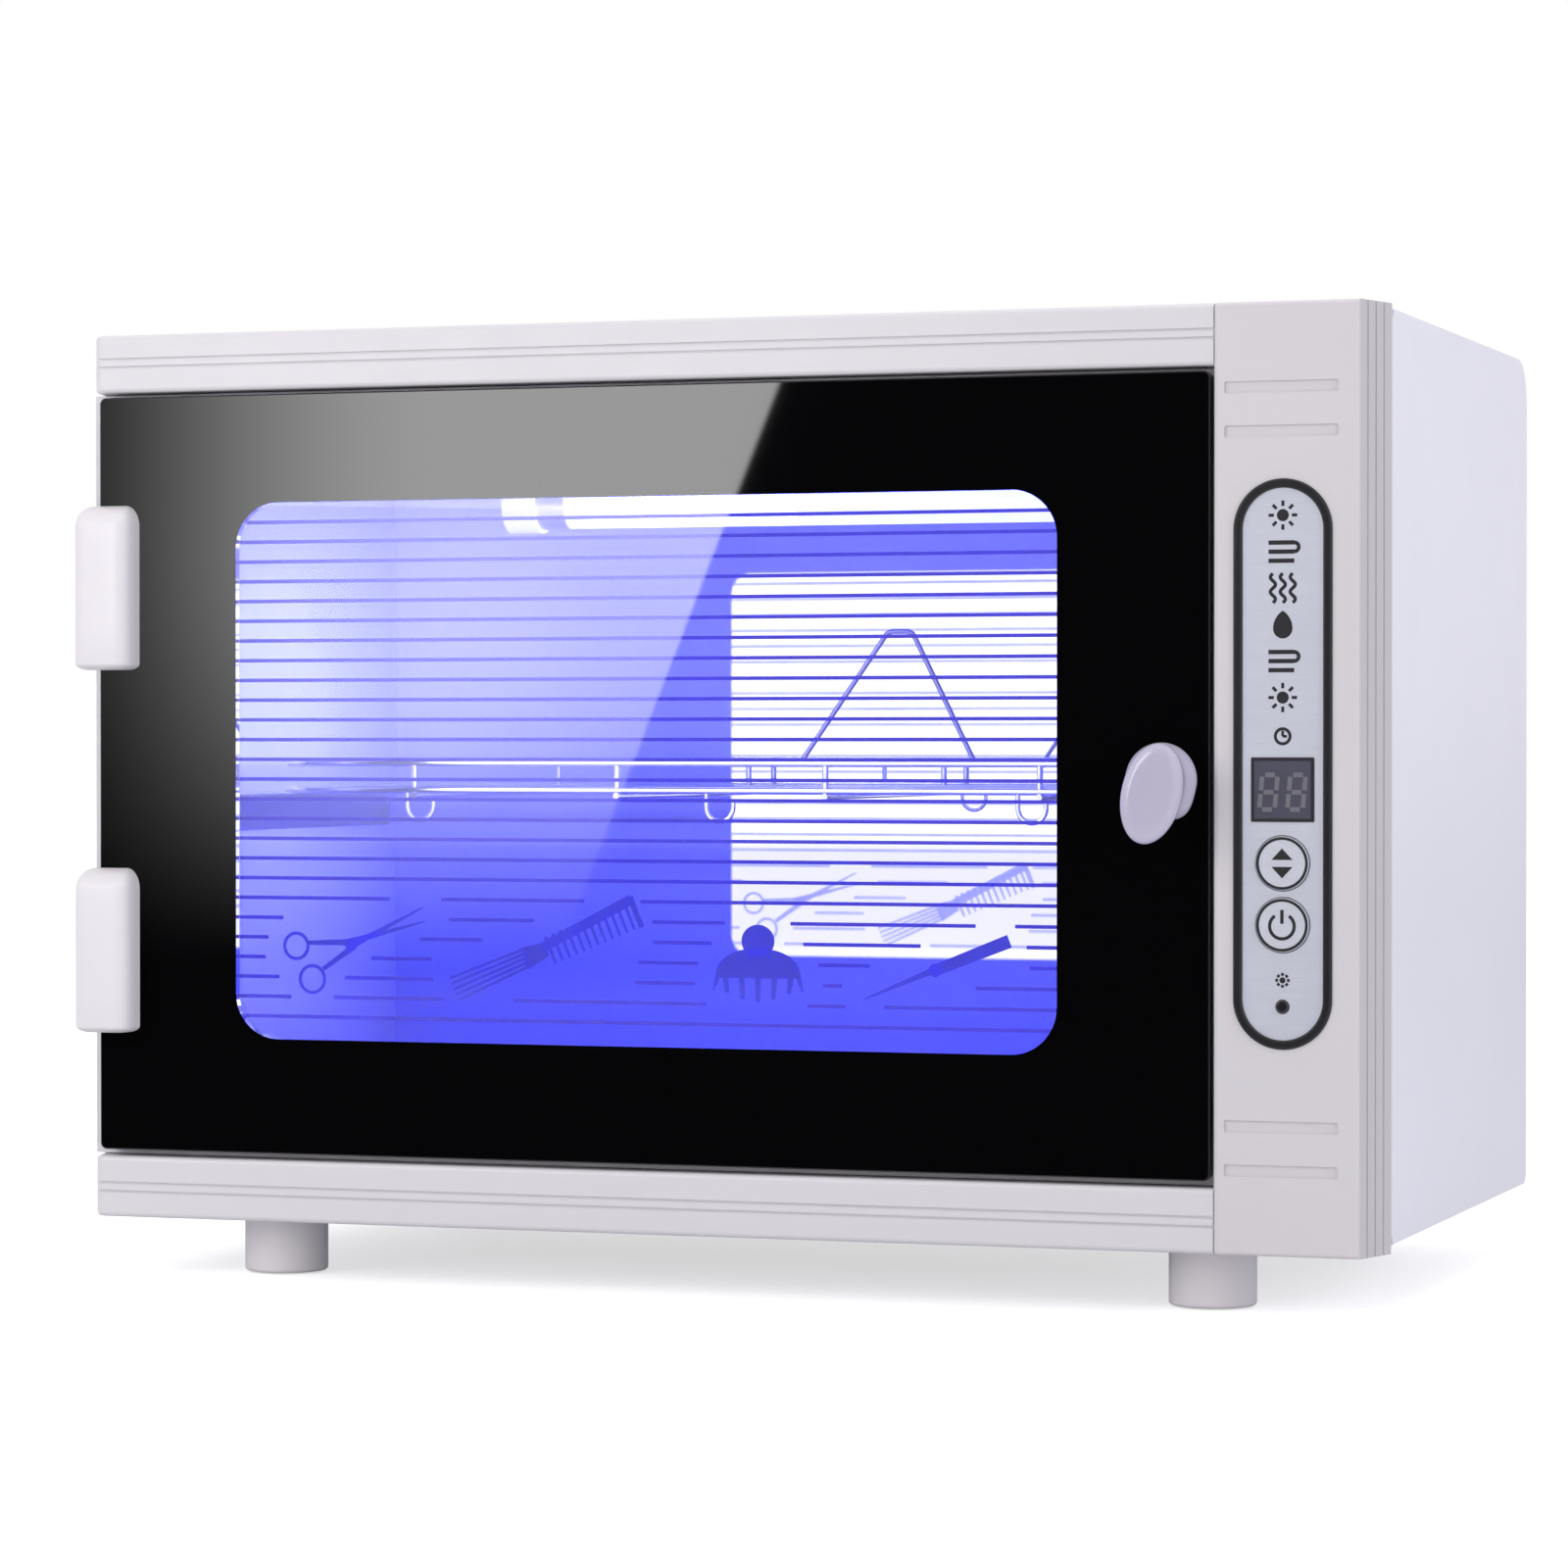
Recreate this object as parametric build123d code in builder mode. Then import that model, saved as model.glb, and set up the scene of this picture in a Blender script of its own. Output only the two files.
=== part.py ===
from build123d import *
import os

# Towel sterilizer cabinet: a white sheet-steel cabinet with a moulded front, a printed glass
# door on two clamp hinges, a mirror-lined chamber with a germicidal tube lamp and a wire rack,
# and a control column with a display and two push buttons on its right.
#
# Sketches are drawn in the cabinet's own measures: x from the left edge of the front face,
# depth behind the front face, and height above the underside of the body. The model's origin
# is on the floor under the middle of the cabinet, with the door facing -Y.

# Overall sizes, in millimetres
FRONT_WIDTH = 400.0
BODY_HEIGHT = 274.0
FOOT_HEIGHT = 18.0
SHELL_BACK = 232.0
SHELL_FLARE = 5.5
SHELL_LOW = 2.5
SHELL_TOP = 272.5
KNOB_REACH = 18.0
REAR_REACH = 2.0
FRONT_Y = -(SHELL_BACK + REAR_REACH - KNOB_REACH) / 2

# Sheet and wall thicknesses
STEEL = 1.0
LINER = 0.8
MOULDING = 2.2
CLEAR = 0.3

# Front moulding: rails above and below the door, jamb behind it, control column beside it
RAIL_DEPTH = 18.0
FRAME_BACK = 20.0
TOP_RAIL_LOW = 256.0
BOTTOM_RAIL_HIGH = 19.0
COLUMN_LEFT = 357.2
COLUMN_PROUD = 0.8
JAMB_FACE = 7.0
JAMB_LEFT = -3.2
MOUTH = (23.0, 348.5, 26.5, 249.0)
MOUTH_RADIUS = 6.0

# Door glass and its printed border
GLASS = (1.5, 356.2, 21.0, 254.6)
GLASS_THICKNESS = 4.0
PRINT_THICKNESS = 0.15
PRINT_BACK = GLASS_THICKNESS + PRINT_THICKNESS
WINDOW = (48.0, 310.5, 56.3, 221.3)
WINDOW_RADIUS = 14.0

# Hinges: a knuckle on the jamb's leaf turns on a pin held by the cap on the glass
HINGE_X = -1.0
HINGE_DEPTH = -3.5
HINGE_HEIGHTS = {"upper": 195.5, "lower": 83.1}
PIN_RADIUS = 1.0
PIN_CLEARANCE = 0.03
KNUCKLE_RADIUS = 2.5
KNUCKLE_LENGTH = 24.0
LEAF_THICKNESS = 1.5
LEAF_RIGHT = 14.0
LEAF_LENGTH = 36.0
CAP_LEFT = -4.0
CAP_RIGHT = 16.0
CAP_LENGTH = 51.0
CAP_PROUD = 9.0
CLAMP_THICKNESS = 1.2
CLAMP_SCREW_X = 10.0
LEAF_SCREW_X = 8.0
LEAF_HEAD_RADIUS = 2.7
LEAF_HEAD_DEPTH = 1.2
LEAF_SCREW_LENGTH = 8.0
HINGE_SCREW_OFFSET = 13.0

# Knob
KNOB_X = 342.0
KNOB_Z = 136.7
KNOB_TILT = -13.0

# Control column: ring, label, display, buttons and light share one centre line
PANEL_X = 377.8
PANEL_Z = 141.3
RING_WIDTH = 29.0
RING_LENGTH = 163.7
RING_WALL = 2.7
DISPLAY_Z = 134.0
DISPLAY_SIDE = 18.5
BUTTON_HEIGHTS = {"select": 112.9, "power": 95.2}
BUTTON_RADIUS = 7.8
BUTTON_TRAVEL = 0.6
LIGHT_Z = 71.8
LIGHT_RADIUS = 2.1
LABEL_BACK = 0.2
BOARD_FRONT = 10.0
BOARD = (361.0, 396.0, 61.0, 152.0)
BOARD_THICKNESS = 1.6
BOARD_HOLE_INSET = 3.6

# Chamber
CHAMBER_LEFT = 8.0
CHAMBER_RIGHT = 350.0
CHAMBER_FLOOR = 14.0
CHAMBER_CEILING = 250.0
CHAMBER_BACK = 217.0

# Lamp: a 6 W tube of 16 mm bulb, 212 mm long between its pins
LAMP_DEPTH = 110.0
LAMP_Z = 224.5
LAMP_LEFT = 106.7
LAMP_LENGTH = 212.0
LAMP_RADIUS = 8.0
LAMP_PIN_SPACING = 4.75

# Wire rack
RACK_LEFT = 27.2
RACK_RIGHT = 330.8
RACK_FRONT = 78.0
RACK_REAR = 204.0
RACK_TOP = 141.0
RACK_BOTTOM = 132.4
RIM_RADIUS = 1.2
WIRE_RADIUS = 1.0
CROSS_WIRES = [75.0, 144.5, 214.0, 283.5]
LONG_WIRE_COUNT = 8
HOOKS = [77.0, 179.0, 281.0]
BAIL_FEET = (206.3, 262.3)
BAIL_TOP = (234.6, 242.3)
BAIL_HEIGHT = 182.0

# Feet and power inlet
FOOT_RADIUS = 13.0
FEET = {
    "front_left": (50.6, 31.5),
    "front_right": (349.4, 31.5),
    "rear_left": (50.6, 200.0),
    "rear_right": (349.4, 200.0),
}
INLET_X = 378.0
INLET_Z = 52.0

os.makedirs("parts", exist_ok=True)


def facing(depth):
    """Sketch plane facing the viewer at a depth: sketch x is x, sketch y is height."""
    return Plane(origin=(-FRONT_WIDTH / 2, FRONT_Y + depth, FOOT_HEIGHT), x_dir=(1, 0, 0), z_dir=(0, -1, 0))


def sideways(x):
    """Sketch plane facing right at a place across: sketch x is depth, sketch y is height."""
    return Plane(origin=(x - FRONT_WIDTH / 2, FRONT_Y, FOOT_HEIGHT), x_dir=(0, 1, 0), z_dir=(1, 0, 0))


def level(height):
    """Sketch plane facing up at a height: sketch x is x, sketch y is depth."""
    return Plane(origin=(-FRONT_WIDTH / 2, FRONT_Y, FOOT_HEIGHT + height), x_dir=(1, 0, 0), z_dir=(0, 0, 1))


def region(left, right, low, high, radius=0.0, mode=Mode.ADD):
    """Rectangle in the open sketch, given by its four edges."""
    with Locations(((left + right) / 2, (low + high) / 2)):
        if radius:
            RectangleRounded(right - left, high - low, radius, mode=mode)
        else:
            Rectangle(right - left, high - low, mode=mode)


def save(builder, name):
    """Label a finished piece and write it as its own file."""
    builder.part.label = name
    export_step(builder.part, f"parts/{name}.step")


# Screw centres of the hinge clamps on the glass and of the hinge leaves on the jamb
hinge_screw_heights = [
    height + side * HINGE_SCREW_OFFSET
    for height in HINGE_HEIGHTS.values()
    for side in (-1, 1)
]
hinge_screw_points = [(CLAMP_SCREW_X, height) for height in hinge_screw_heights]
leaf_screw_points = [(LEAF_SCREW_X, height) for height in hinge_screw_heights]


# Front frame: the jamb round the chamber's mouth on a back plate that the shell meets
POCKET_DEPTH = 10.8
with BuildPart() as front_frame:
    with BuildSketch(facing(JAMB_FACE)):
        region(JAMB_LEFT, COLUMN_LEFT, BOTTOM_RAIL_HIGH + CLEAR, TOP_RAIL_LOW - CLEAR)
    extrude(amount=-(FRAME_BACK - JAMB_FACE))
    with BuildSketch(facing(RAIL_DEPTH)):
        region(-SHELL_FLARE, FRONT_WIDTH + SHELL_FLARE, SHELL_LOW, SHELL_TOP, radius=3.0)
    extrude(amount=-(FRAME_BACK - RAIL_DEPTH))
    # the mouth, and the wiring window behind the control column
    with BuildSketch(facing(JAMB_FACE)):
        region(*MOUTH, radius=MOUTH_RADIUS)
    extrude(amount=-(FRAME_BACK - JAMB_FACE), mode=Mode.SUBTRACT)
    with BuildSketch(facing(RAIL_DEPTH)):
        region(362.0, 399.0, 30.0, 244.0, radius=4.0)
    extrude(amount=-(FRAME_BACK - RAIL_DEPTH), mode=Mode.SUBTRACT)
    # cored-out left stile between the hinges
    with BuildSketch(facing(FRAME_BACK)):
        for low, high in ((25.0, 56.0), (110.5, 168.0), (223.0, 250.0)):
            region(JAMB_LEFT + MOULDING, MOUTH[0] - MOULDING, low, high, radius=1.5)
    extrude(amount=POCKET_DEPTH, mode=Mode.SUBTRACT)
    # seats for the hinge leaves, flush with the jamb
    with BuildSketch(facing(JAMB_FACE)):
        for height in HINGE_HEIGHTS.values():
            seat = LEAF_LENGTH / 2 + CLEAR
            region(JAMB_LEFT, LEAF_RIGHT + CLEAR, height - seat, height + seat)
    extrude(amount=-LEAF_THICKNESS, mode=Mode.SUBTRACT)
    # screw pilots for the hinge leaves
    with BuildSketch(facing(JAMB_FACE + LEAF_HEAD_DEPTH)):
        with Locations(*leaf_screw_points):
            Circle(1.5)
    extrude(amount=-LEAF_SCREW_LENGTH, mode=Mode.SUBTRACT)
save(front_frame, "front_frame")


# Rails: open-backed mouldings with flared, rounded left ends, a pair of grooves and cross ribs
RAIL_RIB_COUNT = 5
RAIL_RIB_THICKNESS = 1.6
RAIL_FLARE = 5.0
GROOVE_HALF_WIDTH = 0.4
GROOVE_DEPTH = 0.6
for name, low, high, grooves in (
    ("top_rail", TOP_RAIL_LOW, BODY_HEIGHT, (266.5, 264.0)),
    ("bottom_rail", 0.0, BOTTOM_RAIL_HIGH, (10.6, 7.9)),
):
    with BuildPart() as rail:
        with BuildSketch(level(low)):
            with BuildLine():
                Polyline(
                    (0, 0),
                    (COLUMN_LEFT, 0),
                    (COLUMN_LEFT, RAIL_DEPTH),
                    (-RAIL_FLARE, RAIL_DEPTH),
                    close=True,
                )
            make_face()
        extrude(amount=high - low)
        left_end = rail.faces().sort_by(Axis.X)[0]
        fillet(left_end.edges().filter_by(Axis.Z).sort_by(Axis.Y)[0], radius=3.0)
        front_edges = rail.faces().sort_by(Axis.Y)[0].edges().filter_by(Axis.X)
        fillet(front_edges, radius=1.5)
        # grooves along the front face
        with BuildSketch(facing(0)):
            for groove in grooves:
                region(-SHELL_FLARE, COLUMN_LEFT, groove - GROOVE_HALF_WIDTH, groove + GROOVE_HALF_WIDTH)
        extrude(amount=-GROOVE_DEPTH, mode=Mode.SUBTRACT)
        # bays between the ribs, open at the back
        bay = (COLUMN_LEFT - 2 * MOULDING) / RAIL_RIB_COUNT
        with BuildSketch(level(low + MOULDING)):
            with Locations((COLUMN_LEFT / 2, (RAIL_DEPTH + MOULDING) / 2)):
                with GridLocations(bay, 1, RAIL_RIB_COUNT, 1):
                    Rectangle(bay - RAIL_RIB_THICKNESS, RAIL_DEPTH - MOULDING)
        extrude(amount=high - low - 2 * MOULDING, mode=Mode.SUBTRACT)
    save(rail, name)


# Control column: one moulding over the full height, its right side a flared flank with fine grooves
FLANK_GROOVE_DEPTHS = (4.2, 8.8, 13.4)
FLANK_GROOVE_RADIUS = 0.5
with BuildPart() as control_column:
    front = -COLUMN_PROUD
    round_edge = 2.0
    ease = 0.4
    flank_run = SHELL_FLARE / (RAIL_DEPTH - front - ease)
    flank_grooves = [
        (FRONT_WIDTH + flank_run * (depth - front - ease), depth)
        for depth in FLANK_GROOVE_DEPTHS
    ]
    with BuildSketch(level(0)):
        with BuildLine():
            Line((FRONT_WIDTH - ease, front), (COLUMN_LEFT + round_edge, front))
            RadiusArc((COLUMN_LEFT + round_edge, front), (COLUMN_LEFT, front + round_edge), round_edge)
            Polyline(
                (COLUMN_LEFT, front + round_edge),
                (COLUMN_LEFT, RAIL_DEPTH),
                (FRONT_WIDTH + SHELL_FLARE, RAIL_DEPTH),
                (FRONT_WIDTH, front + ease),
                (FRONT_WIDTH - ease, front),
            )
        make_face()
        with Locations(*flank_grooves):
            Circle(FLANK_GROOVE_RADIUS, mode=Mode.SUBTRACT)
    extrude(amount=BODY_HEIGHT)
    front_face = control_column.faces().sort_by(Axis.Y)[0]
    fillet(front_face.edges().filter_by(Axis.X), radius=1.2)
    # three bays behind the front wall, with the wiring bay in the middle
    for low, high in ((MOULDING, 24.0), (26.0, 248.0), (250.0, BODY_HEIGHT - MOULDING)):
        with BuildSketch(level(low)):
            with BuildLine():
                inner = MOULDING - COLUMN_PROUD
                Polyline(
                    (COLUMN_LEFT + MOULDING, inner),
                    (FRONT_WIDTH - 1.6, inner),
                    (FRONT_WIDTH + 2.6, RAIL_DEPTH),
                    (COLUMN_LEFT + MOULDING, RAIL_DEPTH),
                    close=True,
                )
            make_face()
        extrude(amount=high - low, mode=Mode.SUBTRACT)
    # four shallow bars on the face, two above and two below the panel
    with BuildSketch(facing(front)):
        for offset_z in (-112.5, -99.8, 99.8, 112.5):
            with Locations((PANEL_X - 0.5, BODY_HEIGHT / 2 + offset_z)):
                RectangleRounded(33.5, 3.4, 0.6)
    extrude(amount=-0.7, mode=Mode.SUBTRACT)
    # recess for the ring and label, then the openings through its floor
    with BuildSketch(facing(front)):
        with Locations((PANEL_X, PANEL_Z)):
            SlotOverall(RING_LENGTH, RING_WIDTH, rotation=90)
    extrude(amount=-(COLUMN_PROUD + LABEL_BACK), mode=Mode.SUBTRACT)
    with BuildSketch(facing(LABEL_BACK)):
        with Locations((PANEL_X, DISPLAY_Z)):
            Rectangle(DISPLAY_SIDE + 0.4, DISPLAY_SIDE + 0.4)
        with Locations(*[(PANEL_X, height) for height in BUTTON_HEIGHTS.values()]):
            Circle(BUTTON_RADIUS + CLEAR)
        with Locations((PANEL_X, LIGHT_Z)):
            Circle(LIGHT_RADIUS + 0.1)
    extrude(amount=-MOULDING, mode=Mode.SUBTRACT)
    # bosses that carry the control board
    board_holes = [
        (x, z)
        for x in (BOARD[0] + BOARD_HOLE_INSET, BOARD[1] - BOARD_HOLE_INSET)
        for z in (BOARD[2] + BOARD_HOLE_INSET, BOARD[3] - BOARD_HOLE_INSET)
    ]
    with BuildSketch(facing(BOARD_FRONT)):
        with Locations(*board_holes):
            Circle(2.8)
            Circle(1.25, mode=Mode.SUBTRACT)
    extrude(amount=BOARD_FRONT - MOULDING + COLUMN_PROUD)
save(control_column, "control_column")


# Black ring set into the column, round the label
LABEL_LENGTH = RING_LENGTH - 2 * RING_WALL
LABEL_WIDTH = RING_WIDTH - 2 * RING_WALL
with BuildPart() as panel_ring:
    with BuildSketch(facing(LABEL_BACK)):
        with Locations((PANEL_X, PANEL_Z)):
            SlotOverall(RING_LENGTH, RING_WIDTH, rotation=90)
            SlotOverall(LABEL_LENGTH, LABEL_WIDTH, rotation=90, mode=Mode.SUBTRACT)
    extrude(amount=1.8)
    fillet(panel_ring.faces().sort_by(Axis.Y)[0].edges(), radius=0.7)
save(panel_ring, "panel_ring")


# Brushed label inside the ring, pierced for the display, buttons and light
with BuildPart() as panel_label:
    with BuildSketch(facing(LABEL_BACK)):
        with Locations((PANEL_X, PANEL_Z)):
            SlotOverall(LABEL_LENGTH, LABEL_WIDTH, rotation=90)
        with Locations((PANEL_X, DISPLAY_Z)):
            Rectangle(DISPLAY_SIDE, DISPLAY_SIDE, mode=Mode.SUBTRACT)
        with Locations(*[(PANEL_X, height) for height in BUTTON_HEIGHTS.values()]):
            Circle(BUTTON_RADIUS + CLEAR, mode=Mode.SUBTRACT)
        with Locations((PANEL_X, LIGHT_Z)):
            Circle(LIGHT_RADIUS, mode=Mode.SUBTRACT)
    extrude(amount=LABEL_BACK + COLUMN_PROUD)
save(panel_label, "panel_label")


# Smoked window over the two-digit display module
WINDOW_PLATE_BACK = 1.3
with BuildPart() as display_window:
    with BuildSketch(facing(WINDOW_PLATE_BACK)):
        with Locations((PANEL_X, DISPLAY_Z)):
            Rectangle(DISPLAY_SIDE, DISPLAY_SIDE)
    extrude(amount=WINDOW_PLATE_BACK + COLUMN_PROUD + 0.2)
    chamfer(display_window.faces().sort_by(Axis.Y)[0].edges(), length=0.25)
save(display_window, "display_window")

with BuildPart() as display_module:
    with BuildSketch(facing(BOARD_FRONT)):
        with Locations((PANEL_X, DISPLAY_Z)):
            Rectangle(17.6, 17.6)
    extrude(amount=BOARD_FRONT - WINDOW_PLATE_BACK)
    chamfer(display_module.edges().filter_by(Axis.Y), length=0.6)
save(display_module, "display_module")


# Push buttons: a domed cap, a retaining flange behind the wall and a stem on the switch plunger
FLANGE_FRONT = MOULDING - COLUMN_PROUD + CLEAR
FLANGE_THICKNESS = 0.8
SWITCH_FRONT = 6.5
STEM_END = SWITCH_FRONT - 2 * BUTTON_TRAVEL
PLUNGER_RADIUS = 1.7
PLUNGER_END = 8.6
for name, height in BUTTON_HEIGHTS.items():
    with BuildPart() as button:
        with BuildSketch(facing(FLANGE_FRONT)):
            with Locations((PANEL_X, height)):
                Circle(BUTTON_RADIUS)
        extrude(amount=FLANGE_FRONT + COLUMN_PROUD + 0.8)
        fillet(button.faces().sort_by(Axis.Y)[0].edges(), radius=0.5)
        with BuildSketch(facing(FLANGE_FRONT + FLANGE_THICKNESS)):
            with Locations((PANEL_X, height)):
                Circle(BUTTON_RADIUS + 0.7)
        extrude(amount=FLANGE_THICKNESS)
        with BuildSketch(facing(STEM_END)):
            with Locations((PANEL_X, height)):
                Circle(2.5)
        extrude(amount=STEM_END - FLANGE_FRONT - FLANGE_THICKNESS)
    save(button, f"{name}_button")

    with BuildPart() as plunger:
        with BuildSketch(facing(PLUNGER_END)):
            with Locations((PANEL_X, height)):
                Circle(PLUNGER_RADIUS)
        extrude(amount=PLUNGER_END - STEM_END)
    save(plunger, f"{name}_switch_plunger")

# Bodies of the two push switches on the board
with BuildPart() as switch_bodies:
    with BuildSketch(facing(BOARD_FRONT)):
        with Locations(*[(PANEL_X, height) for height in BUTTON_HEIGHTS.values()]):
            RectangleRounded(12.0, 12.0, 1.0)
    extrude(amount=BOARD_FRONT - SWITCH_FRONT)
    with BuildSketch(facing(SWITCH_FRONT)):
        with Locations(*[(PANEL_X, height) for height in BUTTON_HEIGHTS.values()]):
            Circle(PLUNGER_RADIUS + 0.1)
    extrude(amount=-(PLUNGER_END + BUTTON_TRAVEL + 0.2 - SWITCH_FRONT), mode=Mode.SUBTRACT)
save(switch_bodies, "switch_bodies")

# Light pipe of the power light, standing on the board
with BuildPart() as power_light_lens:
    with BuildSketch(facing(BOARD_FRONT)):
        with Locations((PANEL_X, LIGHT_Z)):
            Circle(LIGHT_RADIUS)
    extrude(amount=BOARD_FRONT + COLUMN_PROUD + 0.4)
    fillet(power_light_lens.faces().sort_by(Axis.Y)[0].edges(), radius=0.8)
    with BuildSketch(facing(FLANGE_FRONT + FLANGE_THICKNESS)):
        with Locations((PANEL_X, LIGHT_Z)):
            Circle(LIGHT_RADIUS + 0.8)
    extrude(amount=FLANGE_THICKNESS)
save(power_light_lens, "power_light_lens")

# Control board on its four bosses, with its screws and the parts on its back
BOARD_BACK = BOARD_FRONT + BOARD_THICKNESS
with BuildPart() as control_board:
    with BuildSketch(facing(BOARD_BACK)):
        region(*BOARD, radius=1.5)
        with Locations(*board_holes):
            Circle(1.5, mode=Mode.SUBTRACT)
    extrude(amount=BOARD_THICKNESS)
save(control_board, "control_board")

with BuildPart() as board_components:
    with BuildSketch(facing(BOARD_BACK)):
        region(367.0, 383.0, 126.0, 145.0)
    extrude(amount=-14.0)
    with BuildSketch(facing(BOARD_BACK)):
        region(366.0, 391.0, 72.0, 78.0)
        region(371.0, 385.0, 86.0, 92.0, radius=0.6)
    extrude(amount=-8.0)
    with BuildSketch(facing(BOARD_BACK)):
        with Locations((386.0, 103.0), (372.0, 108.0)):
            Circle(4.0)
    extrude(amount=-12.0)
save(board_components, "board_components")


# Door glass with rounded corners and holes for the hinge screws and knob screw
with BuildPart() as door_glass:
    with BuildSketch(facing(0)):
        region(*GLASS, radius=2.0)
        with Locations(*hinge_screw_points, (KNOB_X, KNOB_Z)):
            Circle(2.5, mode=Mode.SUBTRACT)
    extrude(amount=-GLASS_THICKNESS)
    front_rim = door_glass.faces().sort_by(Axis.Y)[0].outer_wire().edges()
    chamfer(front_rim, length=0.4)
save(door_glass, "door_glass")

# Black printed border on the back of the glass, open at the window
with BuildPart() as door_border_print:
    with BuildSketch(facing(GLASS_THICKNESS)):
        region(GLASS[0] + 0.4, GLASS[1] - 0.4, GLASS[2] + 0.4, GLASS[3] - 0.4, radius=1.8)
        region(*WINDOW, radius=WINDOW_RADIUS, mode=Mode.SUBTRACT)
        with Locations(*hinge_screw_points, (KNOB_X, KNOB_Z)):
            Circle(2.5, mode=Mode.SUBTRACT)
    extrude(amount=-PRINT_THICKNESS)
save(door_border_print, "door_border_print")


# Knob: a round base on the glass, a drawn-in neck and an oval grip that overhangs at the bottom
KNOB_SECTIONS = (
    (0.0, 342.0, 136.7, 10.8, 11.0),
    (2.4, 342.0, 136.7, 10.6, 10.8),
    (6.0, 342.3, 136.2, 8.0, 9.4),
    (10.5, 342.7, 134.4, 8.2, 11.6),
    (14.6, 343.0, 133.0, 9.0, 14.8),
    (16.6, 343.0, 132.9, 8.9, 15.0),
    (KNOB_REACH, 343.0, 132.9, 7.9, 13.9),
)
with BuildPart() as knob:
    for reach, centre_x, centre_z, half_width, half_height in KNOB_SECTIONS:
        with BuildSketch(facing(-reach)):
            with Locations((centre_x, centre_z)):
                Ellipse(half_width, half_height, rotation=KNOB_TILT)
    loft()
    with BuildSketch(facing(0)):
        with Locations((KNOB_X, KNOB_Z)):
            Circle(2.0)
    extrude(amount=9.0, mode=Mode.SUBTRACT)
save(knob, "knob")

WASHER_BACK = PRINT_BACK + 1.0
with BuildPart() as knob_washer:
    with BuildSketch(facing(WASHER_BACK)):
        with Locations((KNOB_X, KNOB_Z)):
            Circle(5.0)
            Circle(2.0, mode=Mode.SUBTRACT)
    extrude(amount=WASHER_BACK - PRINT_BACK)
save(knob_washer, "knob_washer")

with BuildPart() as knob_screw:
    with BuildSketch(facing(WASHER_BACK)):
        with Locations((KNOB_X, KNOB_Z)):
            Circle(2.0)
    extrude(amount=WASHER_BACK + 9.0)
    with BuildSketch(facing(WASHER_BACK)):
        with Locations((KNOB_X, KNOB_Z)):
            Circle(3.8)
    extrude(amount=-2.2)
    fillet(knob_screw.faces().sort_by(Axis.Y)[-1].edges(), radius=0.8)
save(knob_screw, "knob_screw")


# Hinges. The cap's slot lets the door swing past a right angle round the jamb's arm.
CLAMP_BACK = PRINT_BACK + CLAMP_THICKNESS
PIN_LENGTH = KNUCKLE_LENGTH + 16.0
ARM_LEFT = HINGE_X - LEAF_THICKNESS / 2
ARM_RIGHT = HINGE_X + LEAF_THICKNESS / 2
for name, height in HINGE_HEIGHTS.items():
    with BuildPart() as hinge_cap:
        with BuildSketch(facing(0)):
            region(CAP_LEFT, CAP_RIGHT, height - CAP_LENGTH / 2, height + CAP_LENGTH / 2, radius=7.0)
        extrude(amount=CAP_PROUD)
        fillet(hinge_cap.faces().sort_by(Axis.Y)[0].edges(), radius=2.8)
        # slot for the knuckle and the swing of its arm
        with BuildSketch(level(height - KNUCKLE_LENGTH / 2 - CLEAR)):
            with Locations((HINGE_X, HINGE_DEPTH)):
                Circle(KNUCKLE_RADIUS + 0.4)
            region(CAP_LEFT, HINGE_X + 1.1, HINGE_DEPTH - 2.1, 0.0)
        extrude(amount=KNUCKLE_LENGTH + 2 * CLEAR, mode=Mode.SUBTRACT)
        with BuildSketch(level(height - PIN_LENGTH / 2)):
            with Locations((HINGE_X, HINGE_DEPTH)):
                Circle(PIN_RADIUS)
        extrude(amount=PIN_LENGTH, mode=Mode.SUBTRACT)
        with BuildSketch(facing(0)):
            with Locations(*hinge_screw_points):
                Circle(1.5)
        extrude(amount=6.0, mode=Mode.SUBTRACT)
    save(hinge_cap, f"{name}_hinge_cap")

with BuildPart() as hinge_pins:
    for height in HINGE_HEIGHTS.values():
        with BuildSketch(level(height - PIN_LENGTH / 2)):
            with Locations((HINGE_X, HINGE_DEPTH)):
                Circle(PIN_RADIUS)
        extrude(amount=PIN_LENGTH)
save(hinge_pins, "hinge_pins")

with BuildPart() as hinge_clamps:
    with BuildSketch(facing(CLAMP_BACK)):
        for height in HINGE_HEIGHTS.values():
            region(2.5, 15.5, height - 21.0, height + 21.0, radius=2.0)
        with Locations(*hinge_screw_points):
            Circle(1.5, mode=Mode.SUBTRACT)
    extrude(amount=CLAMP_THICKNESS)
save(hinge_clamps, "hinge_clamps")

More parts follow.
